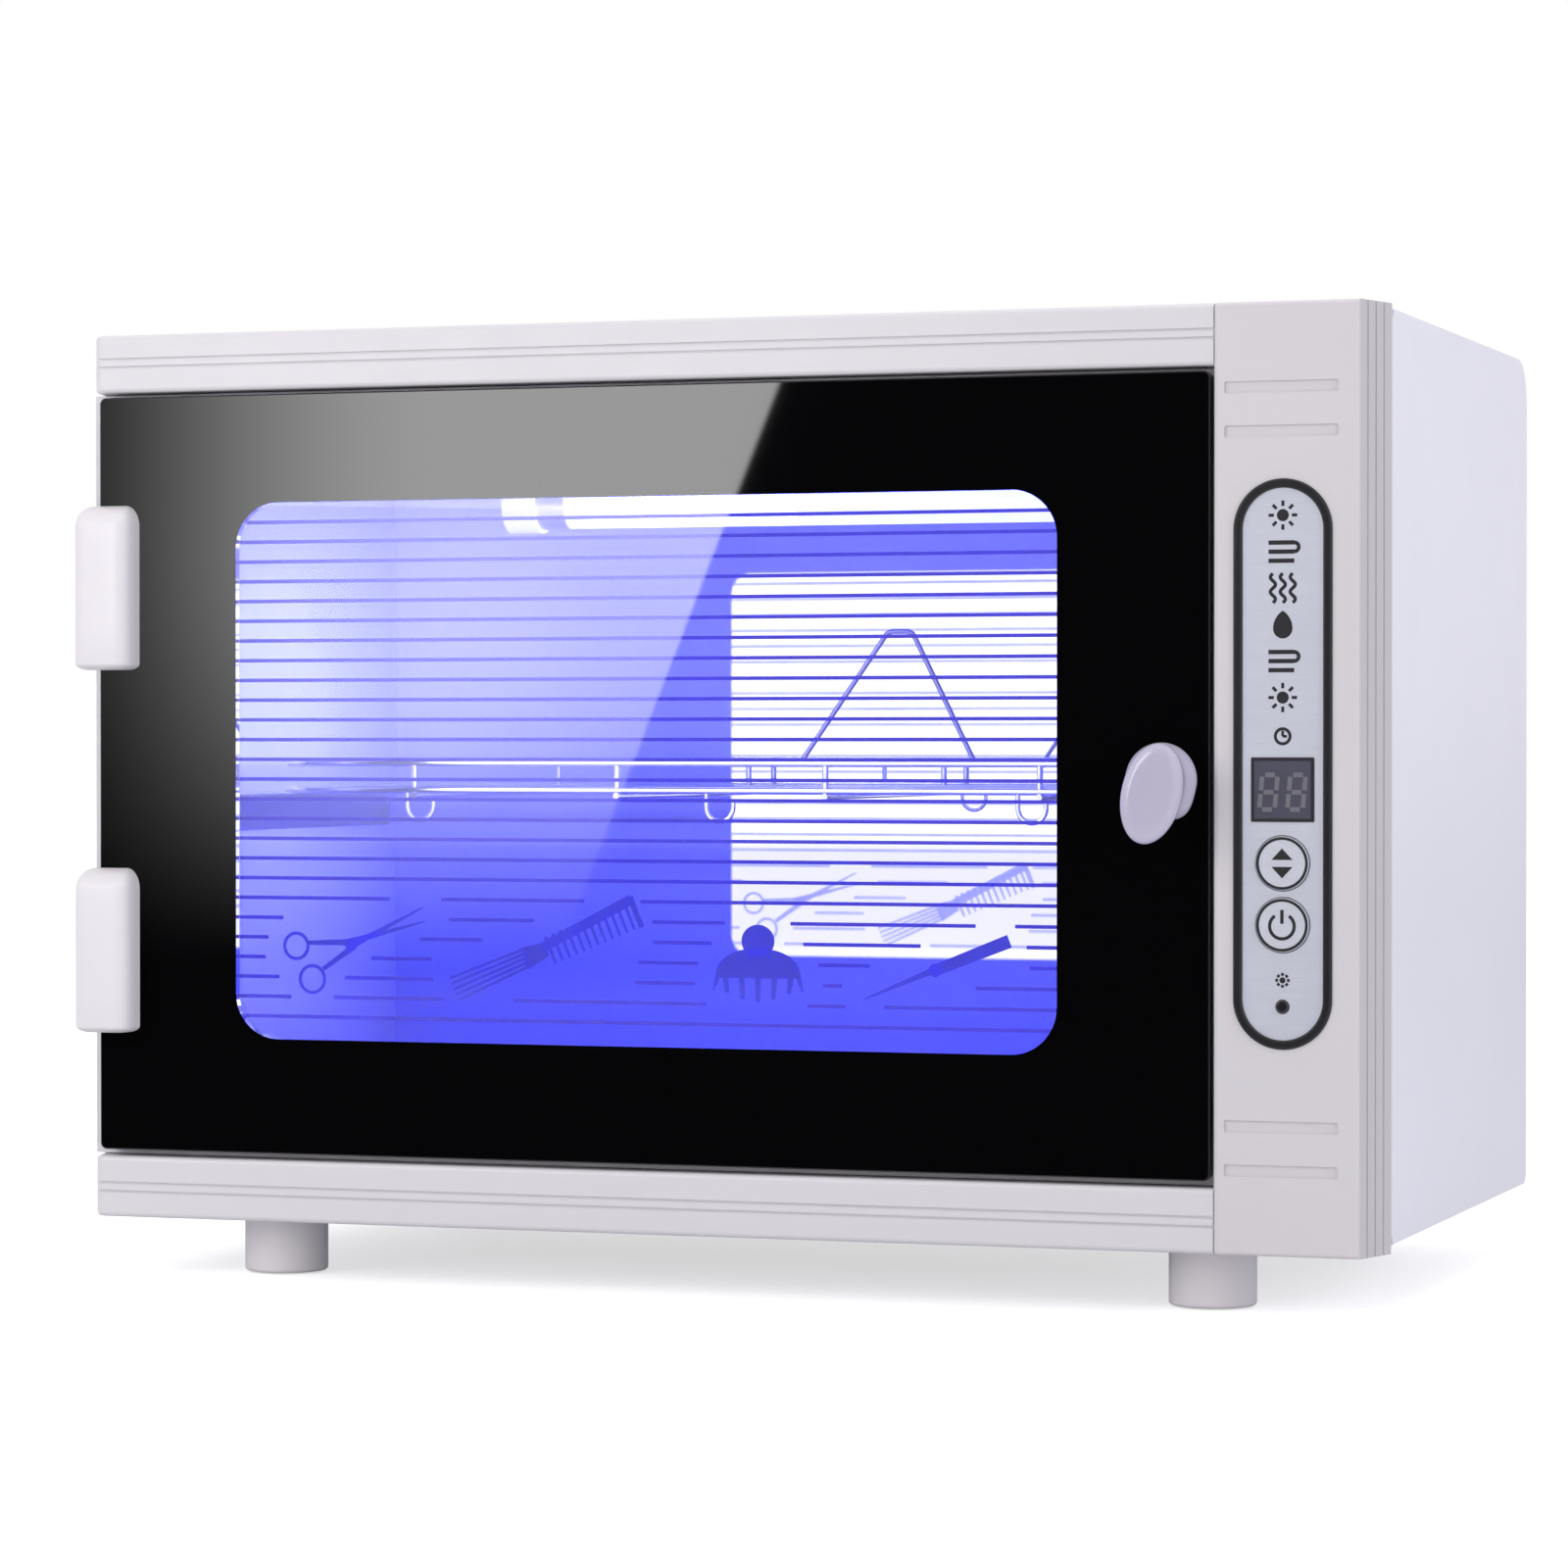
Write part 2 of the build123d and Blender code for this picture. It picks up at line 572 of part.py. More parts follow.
# Leaves: a flat flange in the jamb's seat and an arm that ends in the bored knuckle
with BuildPart() as hinge_leaves:
    for height in HINGE_HEIGHTS.values():
        with BuildSketch(level(height - KNUCKLE_LENGTH / 2)):
            with Locations((HINGE_X, HINGE_DEPTH)):
                Circle(KNUCKLE_RADIUS)
            region(ARM_LEFT, ARM_RIGHT, HINGE_DEPTH, JAMB_FACE + LEAF_THICKNESS)
        extrude(amount=KNUCKLE_LENGTH)
        with BuildSketch(facing(JAMB_FACE)):
            region(ARM_LEFT, LEAF_RIGHT, height - LEAF_LENGTH / 2, height + LEAF_LENGTH / 2)
        extrude(amount=-LEAF_THICKNESS)
        with BuildSketch(level(height - KNUCKLE_LENGTH / 2)):
            with Locations((HINGE_X, HINGE_DEPTH)):
                Circle(PIN_RADIUS + PIN_CLEARANCE)
        extrude(amount=KNUCKLE_LENGTH, mode=Mode.SUBTRACT)
    with BuildSketch(facing(JAMB_FACE)):
        with Locations(*leaf_screw_points):
            Circle(LEAF_HEAD_RADIUS)
    extrude(amount=-LEAF_HEAD_DEPTH, taper=45, mode=Mode.SUBTRACT)
    with BuildSketch(facing(JAMB_FACE)):
        with Locations(*leaf_screw_points):
            Circle(1.5)
    extrude(amount=-LEAF_THICKNESS, mode=Mode.SUBTRACT)
save(hinge_leaves, "hinge_leaves")

# Screws through the clamps and glass into the caps
with BuildPart() as clamp_screws:
    with BuildSketch(facing(CLAMP_BACK)):
        with Locations(*hinge_screw_points):
            Circle(1.5)
    extrude(amount=CLAMP_BACK + 5.0)
    with BuildSketch(facing(CLAMP_BACK)):
        with Locations(*hinge_screw_points):
            Circle(2.7)
    extrude(amount=-1.1)
save(clamp_screws, "clamp_screws")

# Countersunk screws of the hinge leaves
with BuildPart() as leaf_screws:
    with BuildSketch(facing(JAMB_FACE)):
        with Locations(*leaf_screw_points):
            Circle(LEAF_HEAD_RADIUS)
    extrude(amount=-LEAF_HEAD_DEPTH, taper=45)
    with BuildSketch(facing(JAMB_FACE + LEAF_HEAD_DEPTH)):
        with Locations(*leaf_screw_points):
            Circle(1.5)
    extrude(amount=-LEAF_SCREW_LENGTH)
save(leaf_screws, "leaf_screws")

# Soft seal round the mouth, just behind the closed door
GASKET_FRONT = PRINT_BACK + 0.1
with BuildPart() as door_gasket:
    with BuildSketch(facing(JAMB_FACE)):
        region(17.6, 353.6, 21.5, 254.0, radius=5.0)
        region(22.0, 349.2, 25.7, 249.8, radius=3.0, mode=Mode.SUBTRACT)
    extrude(amount=JAMB_FACE - GASKET_FRONT)
    fillet(door_gasket.faces().sort_by(Axis.Y)[0].edges(), radius=1.2)
save(door_gasket, "door_gasket")

# Magnetic catch in the mouth, and the steel strike plate on the back of the glass
STRIKE_BACK = PRINT_BACK + 0.8
CATCH_FRONT = STRIKE_BACK + 0.2
CATCH = (334.0, MOUTH[1], 178.0, 204.0)
with BuildPart() as strike_plate:
    with BuildSketch(facing(STRIKE_BACK)):
        region(CATCH[0], CATCH[1] - 1.5, CATCH[2], CATCH[3], radius=1.5)
    extrude(amount=STRIKE_BACK - PRINT_BACK)
save(strike_plate, "strike_plate")

with BuildPart() as catch_housing:
    with BuildSketch(facing(CATCH_FRONT)):
        region(*CATCH)
    extrude(amount=-(FRAME_BACK - CATCH_FRONT))
    chamfer(catch_housing.edges().filter_by(Axis.Y).group_by(Axis.X)[0], length=2.0)
    with BuildSketch(facing(CATCH_FRONT)):
        region(CATCH[0] + 3.0, CATCH[1] - 4.0, CATCH[2] + 3.0, CATCH[3] - 3.0)
    extrude(amount=-8.0, mode=Mode.SUBTRACT)
save(catch_housing, "catch_housing")

with BuildPart() as catch_magnet:
    with BuildSketch(facing(CATCH_FRONT)):
        region(CATCH[0] + 3.0, CATCH[1] - 4.0, CATCH[2] + 3.0, CATCH[3] - 3.0)
    extrude(amount=-8.0)
save(catch_magnet, "catch_magnet")


# Shell: two side pans, a bent top and back cover, and a base plate
TOP_BEND = 15.0
FOOT_BEND = 4.0
FLANGE_WIDTH = 10.0
inside_left = -SHELL_FLARE + STEEL
inside_right = FRONT_WIDTH + SHELL_FLARE - STEEL
inside_width = inside_right - inside_left
case_screw_points = [(x, z) for x in (inside_left + 5.0, inside_right - 5.0) for z in (40.0, 137.0, 234.0)]


for name, outer, inward in (
    ("left_side_panel", -SHELL_FLARE, 1),
    ("right_side_panel", FRONT_WIDTH + SHELL_FLARE, -1),
):
    with BuildPart() as side_panel:
        # the skin, then the flange turned in all round it, one sheet's thickness inside its edge
        for inset, start, reach in ((0.0, 0.0, STEEL), (STEEL, STEEL, FLANGE_WIDTH)):
            with BuildSketch(sideways(outer + inward * start)):
                with BuildLine():
                    FilletPolyline(
                        (FRAME_BACK, SHELL_LOW + inset),
                        (SHELL_BACK - inset, SHELL_LOW + inset),
                        (SHELL_BACK - inset, SHELL_TOP - inset),
                        (FRAME_BACK, SHELL_TOP - inset),
                        radius=[FOOT_BEND - inset, TOP_BEND - inset],
                    )
                    Line((FRAME_BACK, SHELL_TOP - inset), (FRAME_BACK, SHELL_LOW + inset))
                make_face()
                if inset:
                    offset(amount=-STEEL, mode=Mode.SUBTRACT)
            extrude(amount=inward * reach)
        with BuildSketch(facing(SHELL_BACK)):
            with Locations(*case_screw_points):
                Circle(1.5)
        extrude(amount=3 * STEEL, mode=Mode.SUBTRACT)
    save(side_panel, name)

inlet_screw_points = [(INLET_X, INLET_Z - 20.0), (INLET_X, INLET_Z + 20.0)]
with BuildPart() as top_back_cover:
    with BuildSketch(sideways(inside_left)):
        with BuildLine():
            FilletPolyline(
                (FRAME_BACK, SHELL_TOP),
                (SHELL_BACK, SHELL_TOP),
                (SHELL_BACK, SHELL_LOW + FOOT_BEND),
                radius=TOP_BEND,
            )
            Line((SHELL_BACK, SHELL_LOW + FOOT_BEND), (SHELL_BACK - STEEL, SHELL_LOW + FOOT_BEND))
            FilletPolyline(
                (SHELL_BACK - STEEL, SHELL_LOW + FOOT_BEND),
                (SHELL_BACK - STEEL, SHELL_TOP - STEEL),
                (FRAME_BACK, SHELL_TOP - STEEL),
                radius=TOP_BEND - STEEL,
            )
            Line((FRAME_BACK, SHELL_TOP - STEEL), (FRAME_BACK, SHELL_TOP))
        make_face()
    extrude(amount=inside_width)
    # cooling slots over the wiring bay, the inlet's cut-out and the screw holes
    with BuildSketch(facing(SHELL_BACK - STEEL)):
        with Locations((INLET_X, 190.0)):
            with GridLocations(1, 8.0, 1, 8):
                SlotOverall(34.0, 3.0)
        with Locations((INLET_X, INLET_Z)):
            Rectangle(20.0, 27.4)
        with Locations(*inlet_screw_points, *case_screw_points):
            Circle(1.5)
    extrude(amount=-STEEL, mode=Mode.SUBTRACT)
save(top_back_cover, "top_back_cover")

with BuildPart() as base_plate:
    with BuildSketch(level(SHELL_LOW)):
        region(inside_left, inside_right, FRAME_BACK, SHELL_BACK - FOOT_BEND)
        with Locations(*FEET.values()):
            Circle(2.0, mode=Mode.SUBTRACT)
        with Locations((INLET_X, 120.0)):
            with GridLocations(1, 10.0, 1, 8):
                SlotOverall(30.0, 3.0, mode=Mode.SUBTRACT)
    extrude(amount=STEEL)
save(base_plate, "base_plate")

with BuildPart() as case_screws:
    with BuildSketch(facing(SHELL_BACK)):
        with Locations(*case_screw_points):
            Circle(1.5)
    extrude(amount=6.0)
    with BuildSketch(facing(SHELL_BACK)):
        with Locations(*case_screw_points):
            Circle(3.0)
    extrude(amount=-1.6)
    fillet(case_screws.faces().group_by(Axis.Y)[-1].edges(), radius=0.7)
save(case_screws, "case_screws")


# Feet: turned blocks with a deep counterbore for the screw
SCREW_SEAT = 6.5
for name, (centre_x, centre_depth) in FEET.items():
    with BuildPart() as foot:
        with BuildSketch(level(-FOOT_HEIGHT)):
            with Locations((centre_x, centre_depth)):
                Circle(FOOT_RADIUS)
        extrude(amount=FOOT_HEIGHT + SHELL_LOW)
        fillet(foot.faces().sort_by(Axis.Z)[0].edges(), radius=1.2)
        with BuildSketch(level(-FOOT_HEIGHT)):
            with Locations((centre_x, centre_depth)):
                Circle(5.5)
        extrude(amount=FOOT_HEIGHT - SCREW_SEAT, mode=Mode.SUBTRACT)
        with BuildSketch(level(-FOOT_HEIGHT)):
            with Locations((centre_x, centre_depth)):
                Circle(2.0)
        extrude(amount=FOOT_HEIGHT + SHELL_LOW, mode=Mode.SUBTRACT)
    save(foot, f"foot_{name}")

with BuildPart() as foot_screws:
    with BuildSketch(level(-SCREW_SEAT)):
        with Locations(*FEET.values()):
            Circle(2.0)
    extrude(amount=SCREW_SEAT + SHELL_LOW + STEEL + 4.5)
    with BuildSketch(level(-SCREW_SEAT)):
        with Locations(*FEET.values()):
            Circle(3.8)
    extrude(amount=-2.4)
save(foot_screws, "foot_screws")

with BuildPart() as foot_nuts:
    with BuildSketch(level(SHELL_LOW + STEEL)):
        with Locations(*FEET.values()):
            RegularPolygon(4.0, 6)
            Circle(2.0, mode=Mode.SUBTRACT)
    extrude(amount=3.2)
save(foot_nuts, "foot_nuts")


# Chamber lining: one mirror sheet folded up both sides, a back sheet and a ceiling
chamber_length = CHAMBER_BACK - FRAME_BACK
with BuildPart() as chamber_walls:
    with BuildSketch(facing(FRAME_BACK)):
        region(CHAMBER_LEFT - LINER, CHAMBER_RIGHT + LINER, CHAMBER_FLOOR - LINER, CHAMBER_CEILING)
        region(CHAMBER_LEFT, CHAMBER_RIGHT, CHAMBER_FLOOR, CHAMBER_CEILING, mode=Mode.SUBTRACT)
    extrude(amount=-chamber_length)
save(chamber_walls, "chamber_walls")

with BuildPart() as chamber_back:
    with BuildSketch(facing(CHAMBER_BACK)):
        region(CHAMBER_LEFT - LINER, CHAMBER_RIGHT + LINER, CHAMBER_FLOOR - LINER, CHAMBER_CEILING + LINER)
    extrude(amount=-LINER)
save(chamber_back, "chamber_back")

with BuildPart() as chamber_ceiling:
    with BuildSketch(level(CHAMBER_CEILING)):
        region(CHAMBER_LEFT - LINER, CHAMBER_RIGHT + LINER, FRAME_BACK, CHAMBER_BACK)
    extrude(amount=LINER)
save(chamber_ceiling, "chamber_ceiling")

# Two hat-shaped bearers carry the chamber on the base plate
bearer_low = SHELL_LOW + STEEL
bearer_high = CHAMBER_FLOOR - LINER
with BuildPart() as chamber_bearers:
    for bearer_x in (95.0, 263.0):
        with BuildSketch(facing(60.0)):
            outer = 10.0
            inner = outer - STEEL
            region(bearer_x - 18.0, bearer_x + 18.0, bearer_low, bearer_low + STEEL)
            region(bearer_x - outer, bearer_x + outer, bearer_low, bearer_high)
            region(bearer_x - inner, bearer_x + inner, bearer_low, bearer_high - STEEL, mode=Mode.SUBTRACT)
        extrude(amount=-130.0)
save(chamber_bearers, "chamber_bearers")


# Lamp: glass tube between metal caps, held by two holders under a folded reflector
CAP_LENGTH_LAMP = 10.0
LAMP_PIN_LENGTH = 7.0
LAMP_RIGHT = LAMP_LEFT + LAMP_LENGTH
with BuildPart() as uv_lamp_tube:
    with BuildSketch(sideways(LAMP_LEFT + CAP_LENGTH_LAMP)):
        with Locations((LAMP_DEPTH, LAMP_Z)):
            Circle(LAMP_RADIUS - 0.3)
    extrude(amount=LAMP_LENGTH - 2 * CAP_LENGTH_LAMP)
save(uv_lamp_tube, "uv_lamp_tube")

pin_points = [(LAMP_DEPTH, LAMP_Z - LAMP_PIN_SPACING / 2), (LAMP_DEPTH, LAMP_Z + LAMP_PIN_SPACING / 2)]
with BuildPart() as uv_lamp_caps:
    for end, inward in ((LAMP_LEFT, 1), (LAMP_RIGHT, -1)):
        with BuildSketch(sideways(end)):
            with Locations((LAMP_DEPTH, LAMP_Z)):
                Circle(LAMP_RADIUS)
        extrude(amount=inward * CAP_LENGTH_LAMP)
        with BuildSketch(sideways(end)):
            with Locations(*pin_points):
                Circle(1.15)
        extrude(amount=-inward * LAMP_PIN_LENGTH)
save(uv_lamp_caps, "uv_lamp_caps")

HOLDER_THICKNESS = 11.0
HOLDER_RADIUS = 9.0
with BuildPart() as lampholders:
    for face, outward in ((LAMP_LEFT, -1), (LAMP_RIGHT, 1)):
        with BuildSketch(sideways(face)):
            with BuildLine():
                near = LAMP_DEPTH - HOLDER_RADIUS
                far = LAMP_DEPTH + HOLDER_RADIUS
                Polyline((near, LAMP_Z), (near, CHAMBER_CEILING), (far, CHAMBER_CEILING), (far, LAMP_Z))
                ThreePointArc((far, LAMP_Z), (LAMP_DEPTH, LAMP_Z - HOLDER_RADIUS), (near, LAMP_Z))
            make_face()
        extrude(amount=outward * HOLDER_THICKNESS)
        with BuildSketch(sideways(face)):
            with Locations(*pin_points):
                Circle(1.15)
        extrude(amount=outward * LAMP_PIN_LENGTH, mode=Mode.SUBTRACT)
save(lampholders, "lampholders")

with BuildPart() as lamp_reflector:
    with BuildSketch(sideways(LAMP_LEFT)):
        with BuildLine():
            Polyline(
                (LAMP_DEPTH - 26.0, 238.0),
                (LAMP_DEPTH - 12.0, CHAMBER_CEILING),
                (LAMP_DEPTH + 12.0, CHAMBER_CEILING),
                (LAMP_DEPTH + 26.0, 238.0),
                (LAMP_DEPTH + 25.3, 237.4),
                (LAMP_DEPTH + 11.6, CHAMBER_CEILING - LINER),
                (LAMP_DEPTH - 11.6, CHAMBER_CEILING - LINER),
                (LAMP_DEPTH - 25.3, 237.4),
                close=True,
            )
        make_face()
    extrude(amount=LAMP_LENGTH)
save(lamp_reflector, "lamp_reflector")


# Rack ledges: two angle strips on the side walls
LEDGE_REACH = 24.0
LEDGE_TOP = RACK_BOTTOM - RIM_RADIUS - 0.2
with BuildPart() as rack_ledges:
    for wall, inward in ((CHAMBER_LEFT, 1), (CHAMBER_RIGHT, -1)):
        with BuildSketch(facing(26.0)):
            with BuildLine():
                Polyline(
                    (wall, LEDGE_TOP),
                    (wall + inward * LEDGE_REACH, LEDGE_TOP),
                    (wall + inward * LEDGE_REACH, LEDGE_TOP - STEEL),
                    (wall + inward * STEEL, LEDGE_TOP - STEEL),
                    (wall + inward * STEEL, LEDGE_TOP - 12.0),
                    (wall, LEDGE_TOP - 12.0),
                    close=True,
                )
            make_face()
        extrude(amount=-(CHAMBER_BACK - 34.0))
save(rack_ledges, "rack_ledges")

# Rack tray: two wire rims one above the other, posts between them, and the grid of its floor
RIM_CORNER = 10.0
cross_height = RACK_BOTTOM - RIM_RADIUS - WIRE_RADIUS + 0.4
with BuildPart() as rack_tray:
    for rim_height in (RACK_BOTTOM, RACK_TOP):
        with BuildLine(level(rim_height)) as rim_path:
            FilletPolyline(
                (RACK_LEFT, RACK_FRONT),
                (RACK_RIGHT, RACK_FRONT),
                (RACK_RIGHT, RACK_REAR),
                (RACK_LEFT, RACK_REAR),
                close=True,
                radius=RIM_CORNER,
            )
        rim = rim_path.wires()[0]
        with BuildSketch(Plane(origin=rim @ 0, z_dir=rim % 0)):
            Circle(RIM_RADIUS)
        sweep(path=rim)
    with BuildSketch(level(RACK_BOTTOM)):
        for depth in (RACK_FRONT, RACK_REAR):
            with Locations(*[(x, depth) for x in CROSS_WIRES]):
                Circle(WIRE_RADIUS)
    extrude(amount=RACK_TOP - RACK_BOTTOM)
    # wires from front to back, under the rim
    with BuildSketch(facing(RACK_FRONT - RIM_RADIUS)):
        with Locations(*[(x, cross_height) for x in CROSS_WIRES]):
            Circle(WIRE_RADIUS)
    extrude(amount=-(RACK_REAR - RACK_FRONT + 2 * RIM_RADIUS))
    # wires from side to side, resting on those
    pitch = (RACK_REAR - RACK_FRONT) / (LONG_WIRE_COUNT + 1)
    with BuildSketch(sideways(RACK_LEFT)):
        for index in range(1, LONG_WIRE_COUNT + 1):
            with Locations((RACK_FRONT + index * pitch, cross_height + 2 * WIRE_RADIUS - 0.3)):
                Circle(WIRE_RADIUS)
    extrude(amount=RACK_RIGHT - RACK_LEFT)
save(rack_tray, "rack_tray")

# Hooks under the front rim: short bent wires
HOOK_HALF_WIDTH = 4.5
HOOK_DROP = 5.2
with BuildPart() as rack_hooks:
    for hook_x in HOOKS:
        with BuildLine(facing(RACK_FRONT)) as hook_path:
            start = (hook_x - HOOK_HALF_WIDTH, RACK_BOTTOM - RIM_RADIUS + 0.3)
            left = (hook_x - HOOK_HALF_WIDTH, RACK_BOTTOM - HOOK_DROP)
            right = (hook_x + HOOK_HALF_WIDTH, RACK_BOTTOM - HOOK_DROP)
            end = (hook_x + HOOK_HALF_WIDTH, RACK_BOTTOM - HOOK_DROP + 2.0)
            Line(start, left)
            ThreePointArc(left, (hook_x, RACK_BOTTOM - HOOK_DROP - HOOK_HALF_WIDTH), right)
            Line(right, end)
        with BuildSketch(level(RACK_BOTTOM - RIM_RADIUS + 0.3)):
            with Locations((hook_x - HOOK_HALF_WIDTH, RACK_FRONT)):
                Circle(0.8)
        sweep(path=hook_path.wires()[0])
save(rack_hooks, "rack_hooks")

# Lifting bail on the front rim: a peaked wire with a small rounded top
with BuildPart() as rack_bail:
    with BuildLine(facing(RACK_FRONT)) as bail_path:
        FilletPolyline(
            (BAIL_FEET[0], RACK_TOP + RIM_RADIUS - 0.3),
            (BAIL_TOP[0], BAIL_HEIGHT),
            (BAIL_TOP[1], BAIL_HEIGHT),
            (BAIL_FEET[1], RACK_TOP + RIM_RADIUS - 0.3),
            radius=3.0,
        )
    bail = bail_path.wires()[0]
    with BuildSketch(Plane(origin=bail @ 0, z_dir=bail % 0)):
        Circle(0.8)
    sweep(path=bail)
save(rack_bail, "rack_bail")


# Electronic ballast on the base plate in the wiring bay
BALLAST = (358.0, 392.0, 66.0, 186.0)
BALLAST_HEIGHT = 28.0
ballast_screw_points = [(375.0, BALLAST[2] - 5.0), (375.0, BALLAST[3] + 5.0)]
with BuildPart() as lamp_ballast:
    with BuildSketch(level(SHELL_LOW + STEEL)):
        region(*BALLAST)
    extrude(amount=BALLAST_HEIGHT)
    chamfer(lamp_ballast.edges().filter_by(Axis.Y).group_by(Axis.Z)[-1], length=2.0)
    with BuildSketch(level(SHELL_LOW + STEEL)):
        region(BALLAST[0] + 6.0, BALLAST[1] - 6.0, BALLAST[2] - 10.0, BALLAST[3] + 10.0, radius=2.0)
        with Locations(*ballast_screw_points):
            Circle(1.5, mode=Mode.SUBTRACT)
    extrude(amount=STEEL)
save(lamp_ballast, "lamp_ballast")

# Pan-head screws of the control board and the ballast
with BuildPart() as wiring_bay_screws:
    with BuildSketch(facing(BOARD_BACK)):
        with Locations(*board_holes):
            Circle(1.25)
    extrude(amount=7.0)
    with BuildSketch(facing(BOARD_BACK)):
        with Locations(*board_holes):
            Circle(2.4)
    extrude(amount=-1.6)
    with BuildSketch(level(SHELL_LOW + 2 * STEEL)):
        with Locations(*ballast_screw_points):
            Circle(1.5)
    extrude(amount=-STEEL)
    with BuildSketch(level(SHELL_LOW + 2 * STEEL)):
        with Locations(*ballast_screw_points):
            Circle(3.0)
    extrude(amount=1.8)
save(wiring_bay_screws, "wiring_bay_screws")

# Power inlet: a flanged socket of the usual three-pin appliance size, upright on the back
INLET_DEPTH = 15.0
INLET_HEAD = 0.9
INLET_FLANGE_BACK = SHELL_BACK + REAR_REACH
with BuildPart() as power_inlet:
    with BuildSketch(facing(INLET_FLANGE_BACK)):
        region(INLET_X - 12.0, INLET_X + 12.0, INLET_Z - 25.0, INLET_Z + 25.0, radius=4.0)
        with Locations(*inlet_screw_points):
            Circle(1.5, mode=Mode.SUBTRACT)
    extrude(amount=REAR_REACH)
    with BuildSketch(facing(INLET_FLANGE_BACK)):
        with Locations(*inlet_screw_points):
            Circle(2.6)
    extrude(amount=INLET_HEAD, mode=Mode.SUBTRACT)
    with BuildSketch(facing(SHELL_BACK)):
        with Locations((INLET_X, INLET_Z)):
            Rectangle(20.0, 27.4)
    extrude(amount=INLET_DEPTH + 3.0)
    with BuildSketch(facing(INLET_FLANGE_BACK)) as socket:
        with Locations((INLET_X, INLET_Z)):
            Rectangle(16.4, 24.4)
        chamfer(socket.vertices().group_by(Axis.X)[0], length=4.5)
    extrude(amount=REAR_REACH + INLET_DEPTH, mode=Mode.SUBTRACT)
save(power_inlet, "power_inlet")

socket_floor = SHELL_BACK - INLET_DEPTH
with BuildPart() as inlet_pins:
    with BuildSketch(facing(socket_floor)):
        outer_pins = [(INLET_X + 2.0, INLET_Z - 7.0), (INLET_X + 2.0, INLET_Z + 7.0)]
        with Locations(*outer_pins, (INLET_X - 2.0, INLET_Z)):
            Rectangle(4.0, 2.0)
    extrude(amount=-(INLET_DEPTH - 3.0))
save(inlet_pins, "inlet_pins")

with BuildPart() as inlet_screws:
    with BuildSketch(facing(INLET_FLANGE_BACK)):
        with Locations(*inlet_screw_points):
            Circle(1.5)
    extrude(amount=8.0)
    with BuildSketch(facing(INLET_FLANGE_BACK)):
        with Locations(*inlet_screw_points):
            Circle(2.6)
    extrude(amount=INLET_HEAD)
save(inlet_screws, "inlet_screws")
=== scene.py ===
import logging
import math
from dataclasses import dataclass
from enum import Enum
from typing import Sequence

import bpy
import numpy as np
from mathutils import Euler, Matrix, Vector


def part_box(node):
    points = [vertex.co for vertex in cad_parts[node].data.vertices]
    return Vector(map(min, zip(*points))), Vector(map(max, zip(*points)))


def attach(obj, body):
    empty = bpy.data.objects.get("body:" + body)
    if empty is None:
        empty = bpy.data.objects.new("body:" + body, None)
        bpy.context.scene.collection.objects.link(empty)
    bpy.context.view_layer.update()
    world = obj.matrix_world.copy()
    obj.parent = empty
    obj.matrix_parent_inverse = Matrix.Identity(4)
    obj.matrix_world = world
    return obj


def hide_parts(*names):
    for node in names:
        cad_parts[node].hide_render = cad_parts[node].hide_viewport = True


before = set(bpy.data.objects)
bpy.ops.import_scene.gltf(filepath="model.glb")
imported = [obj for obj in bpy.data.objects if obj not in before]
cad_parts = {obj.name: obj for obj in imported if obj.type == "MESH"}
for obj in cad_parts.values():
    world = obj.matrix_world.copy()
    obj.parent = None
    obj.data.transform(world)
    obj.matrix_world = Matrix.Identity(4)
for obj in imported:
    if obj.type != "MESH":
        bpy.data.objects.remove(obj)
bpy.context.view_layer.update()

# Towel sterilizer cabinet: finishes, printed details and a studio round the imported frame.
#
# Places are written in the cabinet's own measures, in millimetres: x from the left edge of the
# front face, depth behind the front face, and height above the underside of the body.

log = logging.getLogger("cabinet")

Colour = tuple[float, float, float]
Pair = Sequence[float]
Node = bpy.types.Node
Socket = bpy.types.NodeSocket
Piece = bpy.types.Object

MM = 0.001
CORNER = (-200.0, -108.0, 18.0)
WHITE: Colour = (1.0, 1.0, 1.0)
VIOLET: Colour = (0.1, 0.115, 1.0)


def place(x: np.ndarray | float, depth: np.ndarray | float, height: np.ndarray | float) -> np.ndarray:
    """Turns the cabinet's own millimetres into metres in the shared frame.

    Args:
        x: Distances from the left edge of the front face.
        depth: Distances behind the front face.
        height: Heights above the underside of the body.

    Returns:
        Points, with the three coordinates on the last axis.
    """
    parts = np.broadcast_arrays(np.asarray(x, float), np.asarray(depth, float), np.asarray(height, float))
    return (np.stack(parts, axis=-1) + np.array(CORNER)) * MM


